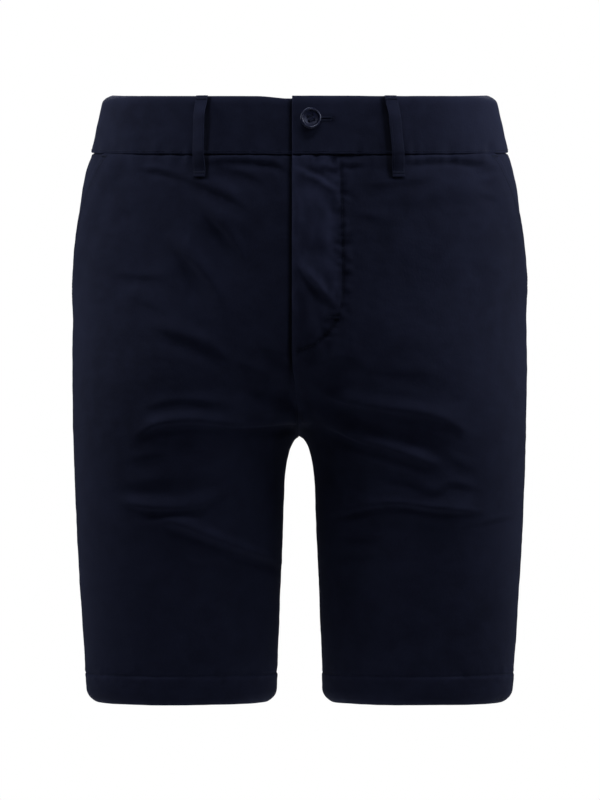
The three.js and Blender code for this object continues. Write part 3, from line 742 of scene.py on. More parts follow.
def front_proud(side, spot):
    x, drop = spot.x * side, spot.drop
    beside = spot.total - spot.length - mouth(drop)
    from_edge = spot.length - (fly_edge(drop) if side > 0 else right_start(drop))
    lifted = (1 - fade("pocket_beside", beside)) * (1 - fade("pocket_below", drop))
    swell_share = fade("swell_centre", np.abs(spot.length)) * fade("swell_side", beside)
    crease_share = fade("crease_edge", from_edge) * fade("crease_side", beside)
    height = panel_cloth(x, drop) + (POCKET_STEP - facing_inset(drop)) * lifted
    height = height + swell_height(FRONT_SWELLS, x, drop) * swell_share
    height = height + crease_height(FRONT_CREASES, x, drop) * crease_share
    height = height + fly_proud(side, FLY_STEP, x, drop, UNDER_PANEL)
    height = height + groove("seam", beside) * fade("side_seam", drop)
    height = height + groove("seam", from_edge) * fade("inseam", drop)
    if side < 0:
        return height + groove("fly", x - FLY_EDGE + GROOVE_ASIDE) * fly_lap(drop)
    distance = path_distance(FLY_STITCH, x, drop)
    drawn_in = ripple("fly_stitch", x, drop) * bell(distance / PUCKER_REACH["fly"])
    facing = ripple("fly_facing", x, drop) * (1 - fade("fly_facing", x))
    ridge = FLY_RIDGE["height"] * bell((from_edge - FLY_RIDGE["middle"]) / FLY_RIDGE["width"])
    return height + groove("fly_stitch", distance) + drawn_in + (facing + ridge) * fly_lap(drop)


def back_proud(side, spot):
    x, drop = spot.x * side, spot.drop
    to_centre = spot.total - spot.length
    swell_share = fade("swell_side", spot.length) * fade("swell_back", to_centre)
    crease_share = fade("crease_side", spot.length) * fade("crease_back", to_centre)
    height = panel_cloth(x, drop) + groove("seam", spot.length) + groove("seam", to_centre)
    height = height + swell_height(BACK_SWELLS, x, drop) * swell_share
    return height + crease_height(BACK_CREASES, x, drop) * crease_share


PANEL_PROUD = {"front": front_proud, "back": back_proud}


def facing_proud(side, spot):
    seam = groove("seam", spot.total - spot.length)
    return seam - facing_inset(spot.drop) + panel_cloth(spot.x * side, spot.drop)


def band_proud(side, face, spot):
    x, drop = spot.x * side, spot.drop
    wave = ripple("band_" + face, x, drop) + ripple("band_fine", x, drop)
    height = BAND_PROUD + wave + waist_pucker(x, drop) + groove("band_edge", BAND_HEIGHT - drop)
    if face == "back":
        return height
    height = height + fly_proud(side, BAND_STEP, x, 0.0, UNDER_BAND)
    return height if side > 0 else height + groove("band_fly", x - FLY_EDGE + GROOVE_ASIDE)


def panel_places(side, face, drops, lengths):
    """Points on a front or back panel's cloth and the way they face."""
    spot = spots(face, drops, lengths)
    return raise_cloth(spot, side, PANEL_PROUD[face](side, spot))


def band_places(side, face, drops, lengths, lift=0.0):
    spot = spots(face, drops, lengths)
    return raise_cloth(spot, side, band_proud(side, face, spot) + lift)


# Meshes


def add_mesh(name, points, faces, uv=None, wear_and_painted_light=None):
    mesh = bpy.data.meshes.new(name)
    mesh.from_pydata(np.asarray(points).tolist(), [], [tuple(face) for face in faces])
    if uv is not None:
        corner = np.empty(len(mesh.loops), int)
        mesh.loops.foreach_get("vertex_index", corner)
        mesh.uv_layers.new(name="cloth").uv.foreach_set("vector", np.asarray(uv)[corner].ravel())
    # The attribute holds rubbed edges and painted light: painted shade below 0, and rubbed edges with the
    # placket's painted highlight above 0
    if wear_and_painted_light is not None:
        mesh.attributes.new("wear_and_painted_light", "FLOAT", "POINT").data.foreach_set("value", np.asarray(wear_and_painted_light, float))
    mesh.shade_smooth()
    piece = bpy.data.objects.new(name, mesh)
    bpy.context.collection.objects.link(piece)
    return piece


def ring_faces(rings, sides):
    """The faces of a tube from ring to ring, with a flat one at each end."""
    at = np.arange(rings * sides).reshape(rings, sides)
    after = np.roll(at, -1, axis=1)
    quads = np.stack([at[:-1], after[:-1], after[1:], at[1:]], axis=-1).reshape(-1, 4)
    return [at[0][::-1].tolist(), *quads.tolist(), at[-1].tolist()]


def round_points(rings, sides):
    """Rings of points round Z, from (radius, height) pairs."""
    turns = [2 * math.pi * k / sides for k in range(sides)]
    return [(r * math.cos(turn), r * math.sin(turn), height) for r, height in rings for turn in turns]


def finish_piece(piece, material, slot, *nodes):
    piece.data.materials.append(material)
    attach(piece, "root")
    if nodes:
        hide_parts(*nodes)


def hang(piece, material, kind, node):
    """Finishes a cloth piece that stands for one node. What it was cut to, kind, is not used."""
    finish_piece(piece, material, "twill", node)


def shell(name, outer, turned, thickness, uv, wear_and_painted_light, mirrored, seams):
    """
    A closed sheet from rows of outer points. Its two layers draw together at its edges, but
    where a row's first or last point is in a seam, the inner layer turns inwards there.
    """
    count, width = outer.shape[:2]
    border = np.zeros((count, width))
    border[[0, -1], :] = 1
    border[:, [0, -1]] = 1
    tuck = (0.5 * EDGE_TUCK * border * thickness)[..., None]
    inner = outer - turned * (thickness[..., None] - tuck)
    inner[:, [0, -1]] -= turned[:, [0, -1]] * (SEAM_DEPTH * seams)[..., None]
    outer = outer - turned * tuck
    layer = count * width
    at = np.arange(layer).reshape(count, width)
    a, b, c, d = at[:-1, :-1], at[1:, :-1], at[1:, 1:], at[:-1, 1:]
    faces = [np.stack([a, b, c, d], axis=-1), np.stack([a, d, c, b], axis=-1) + layer]
    rims = (
        (at[0, :-1], at[0, 1:]),
        (at[-1, 1:], at[-1, :-1]),
        (at[1:, 0], at[:-1, 0]),
        (at[:-1, -1], at[1:, -1]),
    )
    faces += [np.stack([first, second, second + layer, first + layer], axis=-1) for first, second in rims]
    faces = np.concatenate([part.reshape(-1, 4) for part in faces])
    if mirrored:
        faces = faces[:, ::-1]
    points = np.concatenate([outer.reshape(-1, 3), inner.reshape(-1, 3)]) * MM
    uv = np.concatenate([uv.reshape(-1, 2)] * 2) * MM
    return add_mesh(name + "_cloth", points, faces.tolist(), uv, np.tile(wear_and_painted_light.ravel(), 2))


def edge_lengths(start, stops):
    """From one length through others, each with its count of steps, closer at both ends."""
    (first, first_count), (last, last_count) = stops
    return np.concatenate(
        [
            start + EDGE_STEPS,
            np.linspace(start + EDGE_ZONE, first, first_count, endpoint=False),
            np.linspace(first, last - EDGE_ZONE, last_count),
            last - EDGE_STEPS[::-1],
        ]
    )


def panel_drops(top, bottom):
    """The rows of a panel: fine at its ends, at the crotch and at the hem."""
    drops = [top + step for step in EDGE_STEPS]
    drop = top + EDGE_ZONE
    while drop < bottom - EDGE_ZONE:
        drops.append(drop)
        from_hem = max(0.0, HEM_LINE - HEM_ROWS["above"] - drop) + HEM_ROWS["near"]
        near = min(abs(drop - CROTCH_DROP), from_hem)
        drop += float(mix(ROW_STEP["fine"], ROW_STEP["coarse"], fade("fine_rows", near)))
    drops += [bottom - step for step in reversed(EDGE_STEPS)]
    return np.array(drops)


def panel(name, side, face, drops, starts, ends, thickness, wear_and_painted_light, seams, material):
    """A front or back panel, between two lengths on each row."""
    rows = []
    counts = (INNER_COLUMNS, OUTER_COLUMNS) if face == "front" else (OUTER_COLUMNS, INNER_COLUMNS)
    for drop, start, end in zip(drops, starts, ends):
        pivot = length_at_x(face, drop, PIVOT * float(section("side", drop)))
        pivot = min(max(pivot, start + PIVOT_ROOM), end - PIVOT_ROOM)
        rows.append(edge_lengths(start, ((pivot, counts[0]), (end, counts[1]))))
    spot = spots(face, drops[:, None], np.array(rows))
    outer, turned = raise_cloth(spot, side, PANEL_PROUD[face](side, spot))
    from_side = spot.total - spot.length if face == "front" else -spot.length
    uv = np.stack([from_side, spot.drop], axis=-1)
    piece = shell(name, outer, turned, thickness(spot), uv, wear_and_painted_light(spot), side < 0, seams)
    hang(piece, material, face, name)


def hem_cloth(spot):
    return CLOTH + HEM_CLOTH * fade("hem_double", spot.drop - HEM_LINE)


def edge_wear(*distances):
    """Rubbed cloth along edges and seams."""
    return sum(bell(distance / RUBBED) for distance in distances)


def hem_wear(spot):
    return edge_wear(OUTSEAM - spot.drop, spot.drop - HEM_LINE - HEM_RUB)


def dark(kind, distance):
    """Painted shade in a crevice."""
    strength, width = PAINTED_SHADES[kind]
    return strength * bell(distance / width)


def loop_painted_shadow(side, x, drop):
    """Painted shadow beside and under a front belt loop."""
    shadow = np.zeros(np.shape(x))
    wide = LOOP_SHADOW_BESIDE["left" if side > 0 else "right"]
    for _, face, loop_x, lean, _ in LOOPS:
        if face == "front" and loop_x * side > 0:
            across = x - loop_x - lean * clamp01(drop / LOOP["bottom"])
            inner = across + side * (LOOP["width"] / 2 + LOOP_SHADOW_BESIDE["overlap"] * wide)
            beside = LOOP_SHADOW_BESIDE["dark"] * bell((inner / wide) ** 2)
            under = LOOP_SHADOW_UNDER["dark"] * bell((across / (LOOP["width"] * LOOP_SHADOW_UNDER["share"])) ** 2)
            shadow += (beside + under) * (1 - fade("loop_end", drop - LOOP["bottom"]))
    return shadow


def fly_dark(x, drop):
    """Painted shade along the fly's stitching, and a painted highlight on the placket above its fold."""
    low = fade("fly_low", drop)
    strength, width = PAINTED_SHADES["fly_stitch"]
    distance = path_distance(FLY_STITCH, x, drop) / (width + FLY_LOW_SHADE["width"] * low)
    stitch_shade = (strength + FLY_LOW_SHADE["dark"] * low) * bell(distance)
    share = clamp01((x - PLACKET_FOLD["x"]) / PLACKET_FOLD["reach"])
    fold = mix(PLACKET_FOLD["top"], PLACKET_FOLD["bottom"], share)
    light = PLACKET_PAINTED_HIGHLIGHT * (1 - fade("placket", x)) * (1 - fade("above_fold", drop - fold))
    return stitch_shade - light


def front_panel(side, name, material):
    drops = panel_drops(WAIST_TUCK["top"], OUTSEAM)
    starts = fly_edge(drops) if side > 0 else right_start(drops)
    ends = row_lengths("front", drops) - mouth(drops)

    def thickness(spot):
        from_fly = spot.length - fly_edge(spot.drop)
        beside = spot.total - spot.length - mouth(spot.drop)
        fly = FLY_CLOTH * (1 - fade("fly_double", from_fly)) * fly_lap(spot.drop) * (side > 0)
        pocket = MOUTH_CLOTH * (1 - fade("mouth_double", beside)) * (1 - fade("under_ends", spot.drop))
        return hem_cloth(spot) + fly + pocket

    def wear_and_painted_light(spot):
        x, drop = spot.x * side, spot.drop
        beside = spot.total - spot.length - mouth(drop)
        # Rubbed edges, less the painted shadow beside and under the front belt loops
        rubbed_and_painted_light = edge_wear(beside) + hem_wear(spot) - loop_painted_shadow(side, x, drop)
        if side > 0:
            # Painted shade along the fly's stitching and a painted highlight on its placket
            return rubbed_and_painted_light + edge_wear(spot.length - fly_edge(drop)) - fly_dark(x, drop)
        # Painted shade beside the left front's edge at the fly
        return rubbed_and_painted_light - dark("fly", x - FLY_EDGE + PAINTED_SHADE_ASIDE) * fly_lap(drop)

    seams = np.stack([drops > INSEAM_TUCK, drops > POCKET_BOTTOM], axis=1)
    panel(name, side, "front", drops, starts, ends, thickness, wear_and_painted_light, seams, material)


def back_panel(side, name, material):
    drops = panel_drops(WAIST_TUCK["top"], OUTSEAM)

    def wear_and_painted_light(spot):
        return edge_wear(spot.length, spot.total - spot.length) + hem_wear(spot)

    starts, ends = np.zeros(len(drops)), row_lengths("back", drops)
    panel(name, side, "back", drops, starts, ends, hem_cloth, wear_and_painted_light, np.ones((len(drops), 2)), material)


def seam_at_end(drops):
    """No seam at the first length of each row, and one at the last."""
    return np.tile([0.0, 1.0], (len(drops), 1))


def pocket_facing(side, name, material):
    drops = panel_drops(WAIST_TUCK["top"], FACING_END)
    rows = []
    for drop, end in zip(drops, row_lengths("front", drops)):
        middle = end - 0.5 * (mouth(drop) + FACING_UNDER)
        stops = ((middle, FACING_COLUMNS), (end, FACING_COLUMNS))
        rows.append(edge_lengths(end - mouth(drop) - FACING_UNDER, stops))
    spot = spots("front", drops[:, None], np.array(rows))
    outer, turned = raise_cloth(spot, side, facing_proud(side, spot))
    from_side = spot.total - spot.length
    uv = np.stack([from_side, spot.drop], axis=-1)
    thickness = np.full(from_side.shape, CLOTH)
    wear_and_painted_light = edge_wear(from_side)
    piece = shell(name, outer, turned, thickness, uv, wear_and_painted_light, side < 0, seam_at_end(drops))
    hang(piece, material, "pocket_facing", name)


def band_rows(face, start, total):
    """The lengths of one row of the waistband on one face, close at the fly and the centre back."""
    if face == "front":
        fine = np.append(EDGE_STEPS, EDGE_ZONE)
        return np.concatenate([start + fine, np.linspace(start + 4, total, BAND_COLUMNS[face])])
    coarse = np.linspace(2, total - EDGE_ZONE, BAND_COLUMNS[face])
    return np.concatenate([coarse, total - EDGE_STEPS[::-1]])


def band_spots(side):
    """Places on half the waistband and how they face, from the fly to the centre back."""
    middle = np.arange(EDGE_ZONE, BAND_HEIGHT - EDGE_ZONE, ROW_STEP["band"])
    drops = np.concatenate([EDGE_STEPS, middle, BAND_HEIGHT - EDGE_STEPS[::-1]])
    start = FLY_EDGE if side > 0 else -UNDER_BAND
    columns = []
    for face, before in (("front", 0.0), ("back", row_lengths("front", drops)[:, None])):
        rows = [band_rows(face, start, total) for total in row_lengths(face, drops)]
        spot = spots(face, drops[:, None], np.array(rows))
        outer, turned = raise_cloth(spot, side, band_proud(side, face, spot))
        if side < 0 and face == "front":
            outer[..., 2] -= BAND_SINK * (1 - fade("sink_x", spot.x)) * (1 - fade("sink_drop", spot.drop))
        columns.append((outer, turned, spot.length + before, spot.drop))
    return [np.concatenate(parts, axis=1) for parts in zip(*columns)]


def waistband(side, name, material):
    outer, turned, u, drop = band_spots(side)
    # Rubbed edges, less the painted shadow beside and under the front belt loops
    wear_and_painted_light = edge_wear(drop, BAND_HEIGHT - drop) - loop_painted_shadow(side, u * side, drop)
    if side > 0:
        along = BUTTONHOLE["length"] * clamp01((u - BUTTON["x"]) / BUTTONHOLE["length"])
        from_slot = np.hypot(u - BUTTON["x"] - along, drop - BUTTON["drop"])
        from_edge = from_slot - BUTTONHOLE["edge"] - BUTTONHOLE["shadow"]
        # Painted shade round the buttonhole
        wear_and_painted_light = wear_and_painted_light + edge_wear(u - FLY_EDGE) - dark("buttonhole", from_edge)
    else:
        # Painted shade beside the left band's edge at the fly
        wear_and_painted_light = wear_and_painted_light - dark("band_fly", -u - FLY_EDGE + PAINTED_SHADE_ASIDE)
    uv = np.stack([u, drop], axis=-1)
    thickness = np.full(drop.shape, BAND_CLOTH)
    piece = shell(name, outer, turned, thickness, uv, wear_and_painted_light, side < 0, seam_at_end(drop))
    if side > 0:
        cut_slot(piece)
    hang(piece, material, name, name)


# Sewing

THREAD_POINTS = np.roll(round_points([(r, at) for at, r in THREAD_RINGS], THREAD_SIDES), 1, axis=1)
THREAD_FACES = ring_faces(len(THREAD_RINGS), THREAD_SIDES)


class Sewing:
    """Threads gathered into one mesh."""

    def __init__(self):
        self.points = []
        self.faces = []

    def thread(self, at, along, out, length, thick, height=0.6):
        """One thread lying at a point: its direction, the way up, its length and its thickness."""
        along = unit(along)
        across = unit(np.cross(out, along))
        base = len(self.points) * len(THREAD_POINTS)
        local = THREAD_POINTS * np.array([length, thick, thick * height])
        self.points.append(at + local @ np.array([along, across, np.cross(along, across)]))
        self.faces += [tuple(base + i for i in face) for face in THREAD_FACES]

    def run(self, line, out, thick=THREAD):
        """Single stitches in a row along a line of points."""
        lengths = lengths_along(line)
        for middle in np.arange(STITCH_PITCH / 2, lengths[-1], STITCH_PITCH):
            first, last = (place_along(line, lengths, middle + s * STITCH_LENGTH / 2) for s in (-1, 1))
            way = unit(place_along(out, lengths, middle))
            self.thread((first + last) / 2 + way * STITCH_RISE, last - first, way, STITCH_LENGTH, thick)

    def bar(self, start, end, out, width=BAR["width"]):
        """A bar tack: close threads across a short line."""
        reach = np.linalg.norm(end - start)
        way = (end - start) / reach
        across = np.cross(out, way)
        for i, s in enumerate(np.arange(0, reach, BAR["pitch"])):
            slant = BAR["slant"] * way * (-1) ** i
            at = start + way * s + out * BAR["rise"]
            self.thread(at, across + slant, out, width, BAR["thread"], BAR["round"])

    def mesh(self, name, material):
        piece = add_mesh(name, np.concatenate(self.points) * MM, self.faces)
        finish_piece(piece, material, "twill")


def hem_sewing(sewing, side):
    for face in ("front", "back"):
        total = row_length(face, HEM_LINE)
        lengths = np.linspace(SEWING_END, total - SEWING_END, SEWING_POINTS["hem"])
        sewing.run(*panel_places(side, face, np.full(lengths.shape, HEM_LINE), lengths))


def fly_sewing(sewing):
    path = np.array(FLY_STITCH)
    reach = lengths_along(path)
    x, drops = place_along(path, reach, np.linspace(0, reach[-1], SEWING_POINTS["path"]))
    lengths = np.array([length_at_x("front", *place) for place in zip(drops, x)])
    sewing.run(*panel_places(1, "front", drops, lengths))
    for bar in FLY_BARS:
        ends = [panel_places(1, "front", drop, length_at_x("front", drop, x)) for x, drop in bar]
        sewing.bar(ends[0][0], ends[1][0], ends[0][1])


def pocket_sewing(sewing, side):
    drops = np.linspace(PANEL_TOP + 1, POCKET_BOTTOM - 2, SEWING_POINTS["path"])
    lengths = row_lengths("front", drops) - mouth(drops) - POCKET_STITCH
    sewing.run(*panel_places(side, "front", drops, lengths))
    for drop in POCKET_BARS:
        edge = row_length("front", drop) - float(mouth(drop))
        ends = [panel_places(side, "front", drop, edge - BAR_START - inset) for inset in (0.0, POCKET_STITCH)]
        sewing.bar(ends[0][0], ends[1][0], ends[0][1])


def band_sewing(sewing, side):
    """Stitching beside the band's lower edge."""
    drop = BAND_HEIGHT - BAND_STITCH
    starts = {"front": (FLY_EDGE if side > 0 else -UNDER_BAND) + BAND_START, "back": SEWING_END}
    for face, start in starts.items():
        lengths = np.linspace(start, row_length(face, drop) - SEWING_END, SEWING_POINTS["band"])
        sewing.run(*band_places(side, face, np.full(lengths.shape, drop), lengths))


# Belt loops


def loop_free(shares):
    """0 where a belt loop is sewn down, 1 where it stands clear."""
    return fade("loop_leaves", shares) * (1 - fade("loop_lands", shares))


def loop_path(face, x, lean):
    """Middle points of a belt loop's inner face, the way it faces, and its share from the top."""
    shares = np.linspace(0, 1, LOOP_STEPS)
    side = -1 if x < 0 else 1
    places = []
    for u in shares:
        drop = float(mix(LOOP["top"], LOOP["bottom"], u))
        spot = spots(face, drop, length_at_x(face, drop, abs(x + lean * u)))
        proud = np.asarray(BAND_PROUD) if drop < BAND_HEIGHT else PANEL_PROUD[face](side, spot)
        places.append(raise_cloth(spot, side, proud))
    points, ways = (np.array(column) for column in zip(*places))
    points = points + ways * mix(LOOP["seat"], LOOP["stand"], loop_free(shares))[:, None]
    for _ in range(LOOP_SMOOTHING):
        points[1:-1] = (points[:-2] + 2 * points[1:-1] + points[2:]) / 4
    return points, ways, shares


def loop_row(x, share):
    """One ring of a belt loop: how far its points are to the side and up from the inner face."""
    turn = np.linspace(0, 2 * math.pi, LOOP_SIDES, endpoint=False)
    wide = np.sign(np.cos(turn)) * np.abs(np.cos(turn)) ** LOOP_SQUARE["wide"]
    high = np.sign(np.sin(turn)) * np.abs(np.sin(turn)) ** LOOP_SQUARE["high"]
    thick = LOOP["cloth"] * (1 - LOOP_TUCK["share"] * math.exp(-min(share, 1 - share) / LOOP_TUCK["reach"]))
    place = (x, share * LOOP_JITTER["rate"], LOOP_JITTER["seed"])
    half = LOOP["width"] / 2 + LOOP_JITTER["height"] * noise.noise(Vector(place))
    crown = LOOP_CROWN * (1 - (2 * np.abs(wide) - 1) ** 2)
    from_stitch = half - LOOP_STITCH["inset"] - np.abs(wide) * half
    sewn = LOOP_STITCH["groove"] * bell(from_stitch / LOOP_STITCH["width"])
    return wide, half * wide, LOOP["cloth"] / 2 + (thick / 2) * high + (crown - sewn) * (high > 0)


def belt_loop(name, face, x, lean, twist, material, sewing):
    points, ways, shares = loop_path(face, x, lean)
    across = unit(np.stack([-ways[:, 1], ways[:, 0], 0 * ways[:, 0]], axis=1))
    along = unit(np.gradient(points, axis=0))
    up = unit(np.cross(across, along))
    up *= np.sign(np.sum(up * ways, axis=1))[:, None]
    tilt = (twist * loop_free(shares))[:, None]
    across, up = across * np.cos(tilt) + up * np.sin(tilt), up * np.cos(tilt) - across * np.sin(tilt)
    rows = []
    for i, share in enumerate(shares):
        wide, aside, rise = loop_row(x, share)
        rows.append(points[i] + across[i] * aside[:, None] + up[i] * rise[:, None])
    flip = -1 if np.dot(np.cross(across[0], up[0]), along[0]) > 0 else 1
    faces = [face[::flip] for face in ring_faces(LOOP_STEPS, LOOP_SIDES)]
    spread = LOOP["width"] * 2.0 * np.arange(1, LOOP_SIDES + 1) / LOOP_SIDES
    uv = np.stack(np.meshgrid(spread, lengths_along(points)), axis=-1).reshape(-1, 2) * MM
    wear_and_painted_light = np.tile(LOOP_WEAR["strength"] * np.abs(wide) ** LOOP_WEAR["power"], LOOP_STEPS)
    piece = add_mesh(name + "_cloth", np.concatenate(rows) * MM, faces, uv, wear_and_painted_light)
    hang(piece, material, "belt_loop", name)
    for sign in (-1, 1):
        aside = across * sign * (LOOP["width"] / 2 - LOOP_STITCH["inset"])
        line = points + aside + up * (LOOP["cloth"] - LOOP_STITCH["sunk"])
        sewing.run(line[2:-2], up[2:-2], LOOP_STITCH["thread"])
    for share in LOOP_BARS:
        i = int(round(share * (LOOP_STEPS - 1)))
        half = across[i] * (LOOP["width"] / 2 - LOOP_BAR["inset"])
        middle = points[i] + up[i] * (LOOP["cloth"] + LOOP_BAR["rise"])
        sewing.bar(middle - half, middle + half, up[i])


# Button and buttonhole


def button_frame():
    """The middle of the button's back, and its across, up and outward directions."""
    at, out = band_places(1, "front", BUTTON["drop"], BUTTON["x"])
    up = unit(np.cross(out, (1, 0, 0)))
    across = np.cross(up, out)
    c, s = math.cos(BUTTON["tilt"]), math.sin(BUTTON["tilt"])
    return at + out * BUTTON["stand"], across * c - out * s, up, out * c + across * s


def on_button(points):
    """Points made on the XY plane, facing +Z, moved to the button's seat."""
    at, across, up, out = button_frame()
    turn = BUTTON["turn"]
    c, s = math.cos(turn), math.sin(turn)
    points = np.asarray(points, float)
    flat = np.stack([points[:, 0] * c - points[:, 1] * s, points[:, 0] * s + points[:, 1] * c], axis=1)
    return at + flat @ np.array([across, up]) + points[:, 2:] * out


def lathe(name, profile, sides, place):
    """A closed shape turned round Z from (radius, height) points, first and last on the axis."""
    (_, bottom), *middle, (_, top) = profile
    points = [(0, 0, bottom), *round_points(middle, sides), (0, 0, top)]
    first, last = 1, 1 + (len(middle) - 1) * sides
    faces = []
    for k in range(sides):
        after = (k + 1) % sides
        faces.append((0, first + after, first + k))
        for base in range(first, last, sides):
            faces.append((base + k, base + after, base + sides + after, base + sides + k))
        faces.append((last + k, last + after, len(points) - 1))
    return add_mesh(name, place(points) * MM, faces)


def cut(piece, cutter):
    """Cuts one closed shape out of another."""
    modifier = piece.modifiers.new("cut", "BOOLEAN")
    modifier.operation = "DIFFERENCE"
    modifier.solver = "EXACT"
    modifier.object = cutter
    graph = bpy.context.evaluated_depsgraph_get()
    result = bpy.data.meshes.new_from_object(piece.evaluated_get(graph))
    piece.modifiers.clear()
    old = piece.data
    piece.data = result
    bpy.data.meshes.remove(old)
    bpy.data.objects.remove(cutter)


def button_profile():
    """The button's half section as (radius, height), from its back to its face."""
    radius, well = BUTTON["radius"], WELL["height"]
    profile = [(0, 0), (radius - BUTTON_BACK["flat"], 0)]
    profile.append((radius - BUTTON_BACK["edge"], BUTTON_BACK["step"]))
    for k in range(RIM["steps"] + 1):
        turn = RIM["sweep"] * k / RIM["steps"] + RIM["start"]
        out = radius + RIM["half"] * (math.cos(turn) - 1)
        profile.append((out, RIM["top"] + RIM["rise"] * (math.sin(turn) - 1)))
    profile += [(radius - WELL["edge"], well + WELL["step"]), (radius - WELL["foot"], well)]
    return profile + [(WELL["middle"], well - WELL["dip"]), (0, well - WELL["dip"])]


def drill_hole(disc, x, y):
    low, high = HOLE["below"], 2 * RIM["top"] - HOLE["below"]
    profile = [(0, low), (HOLE["radius"], low), (HOLE["radius"], high), (0, high)]
    cut(disc, lathe("drill", profile, HOLE["sides"], lambda points: on_button(np.add(points, (x, y, 0)))))


def button(material, thread):
    disc = lathe("button_disc", button_profile(), BUTTON_SIDES, on_button)
    spread = HOLE["spread"]
    for x in (-spread, spread):
        for y in (-spread, spread):
            drill_hole(disc, x, y)
    disc.data.shade_smooth()
    disc.data.set_sharp_from_angle(angle=BUTTON_SHARP)
    finish_piece(disc, material, "button", "waist_button")
    button_sewing(thread)


def button_sewing(material):
    """Two rows of threads across the holes, and the shank behind the button."""
    sewing = Sewing()
    _, across, up, out = button_frame()
    row, shank = CROSS_THREADS, SHANK_THREADS
    for side in (-1, 1):
        for k in range(row["count"]):
            y = side * HOLE["spread"] + (k - (row["count"] - 1) / 2) * row["pitch"]
            middle, start, end = on_button([(0, y, WELL["height"] + row["rise"]), (0, y, 0), (1, y, 0)])
            sewing.thread(middle, end - start, out, row["length"], row["thick"], 1.0)
    turns = round_points([(shank["radius"], -shank["sunk"] * BUTTON["stand"])], shank["count"])
    for root in on_button(turns):
        length = BUTTON["stand"] + shank["longer"]
        sewing.thread(root, out + shank["lean"] * across, up, length, shank["thick"], 1.0)
    sewing.mesh("button_thread", material)


def slot_outline(grow):
    """The buttonhole's outline along +X from its round eye, in millimetres from the eye."""
    eye, half, length = BUTTONHOLE["eye"] + grow, BUTTONHOLE["half"] + grow, BUTTONHOLE["length"]
    opening = math.asin(half / eye)
    round_eye = np.linspace(opening, 2 * math.pi - opening, SLOT_STEPS["eye"] + 1)
    far_end = np.linspace(-math.pi / 2, math.pi / 2, SLOT_STEPS["end"] + 1)
    points = [(eye * math.cos(turn), eye * math.sin(turn)) for turn in round_eye]
    return points + [(length - half + half * math.cos(turn), half * math.sin(turn)) for turn in far_end]


def band_at(x, drop, lift=0.0):
    """A point on the overlapping band's face."""
    return band_places(1, "front", drop, length_at_x("front", drop, x), lift)


def cut_slot(band):
    """The buttonhole's opening."""
    outline = slot_outline(0.0)
    points = []
    for lift in (-BAND_CLOTH - SLOT_CLEAR, SLOT_CLEAR):
        points += [band_at(BUTTON["x"] + x, BUTTON["drop"] - z, lift)[0] for x, z in outline]
    cutter = add_mesh("slot", np.array(points) * MM, ring_faces(2, len(outline)))
    mesh = bmesh.new()
    mesh.from_mesh(cutter.data)
    bmesh.ops.recalc_face_normals(mesh, faces=mesh.faces)
    mesh.to_mesh(cutter.data)
    mesh.free()
    cut(band, cutter)


def buttonhole_sewing(sewing):
    """Satin stitches all round the buttonhole, and a bar at its far end."""
    row, bar = BUTTONHOLE_THREADS, BUTTONHOLE_BAR
    outline = slot_outline(BUTTONHOLE["edge"] / 2)
    outline = np.array([*outline, outline[0]])
    lengths = lengths_along(outline)
    for s in np.arange(0, lengths[-1], row["pitch"]):
        first, last = (place_along(outline, lengths, s + step * row["reach"]) for step in (-1, 1))
        x, z = (first + last) / 2
        at, out = band_at(BUTTON["x"] + x, BUTTON["drop"] - z, row["rise"])
        way = np.array([last[0] - first[0], 0.0, last[1] - first[1]])
        sewing.thread(at, np.cross(out, way), out, BUTTONHOLE["edge"], row["thick"], row["round"])
    end = BUTTON["x"] + BUTTONHOLE["length"] + bar["beyond"]
    reach = BUTTONHOLE["half"] + bar["over"]
    low, out = band_at(end, BUTTON["drop"] + reach)
    high, _ = band_at(end, BUTTON["drop"] - reach)
    sewing.bar(low, high, out, bar["width"])


# Materials


class Nodes:
    """Short calls for a material's nodes."""

    def __init__(self, name):
        self.material = bpy.data.materials.new(name)
        self.material.use_nodes = True
        self.tree = self.material.node_tree
        self.surface = self.tree.nodes["Principled BSDF"]
        self.body = self.add("ShaderNodeTexCoord").outputs["Object"]

    def add(self, kind, inputs=None, **settings):
        node = self.tree.nodes.new(kind)
        for key, value in settings.items():
            setattr(node, key, value)
        for key, value in (inputs or {}).items():
            self.feed(node.inputs[key], value)
        return node

    def feed(self, socket, value):
        if isinstance(value, bpy.types.NodeSocket):
            self.tree.links.new(value, socket)
        else:
            socket.default_value = value

    def math(self, operation, a, b):
        return self.add("ShaderNodeMath", {0: a, 1: b}, operation=operation).outputs[0]

    def ramp(self, value, *stops):
        """A value taken from one range, the first two stops, to another."""
        inputs = dict(zip(("From Min", "From Max", "To Min", "To Max"), stops))
        return self.add("ShaderNodeMapRange", {"Value": value, **inputs}).outputs["Result"]

    def noise(self, where, scale, detail=3.0):
        inputs = {"Vector": where, "Scale": scale, "Detail": detail, "Roughness": 0.6}
        return self.add("ShaderNodeTexNoise", inputs).outputs["Fac"]

    def mapped(self, where, **inputs):
        return self.add("ShaderNodeMapping", {"Vector": where, **inputs}).outputs[0]

    def blend(self, share, a, b):
        node = self.add("ShaderNodeMix", data_type="RGBA")
        for key, value in (("Factor", share), ("A", a), ("B", b)):
            self.feed(node.inputs[key], value)
        return node.outputs["Result"]

    def bump(self, height, strength, distance, **inputs):
        inputs = {"Height": height, "Strength": strength, "Distance": distance, **inputs}
        return self.add("ShaderNodeBump", inputs).outputs[0]

    def set(self, **values):
        for key, value in values.items():
            self.feed(self.surface.inputs[key.replace("_", " ")], value)


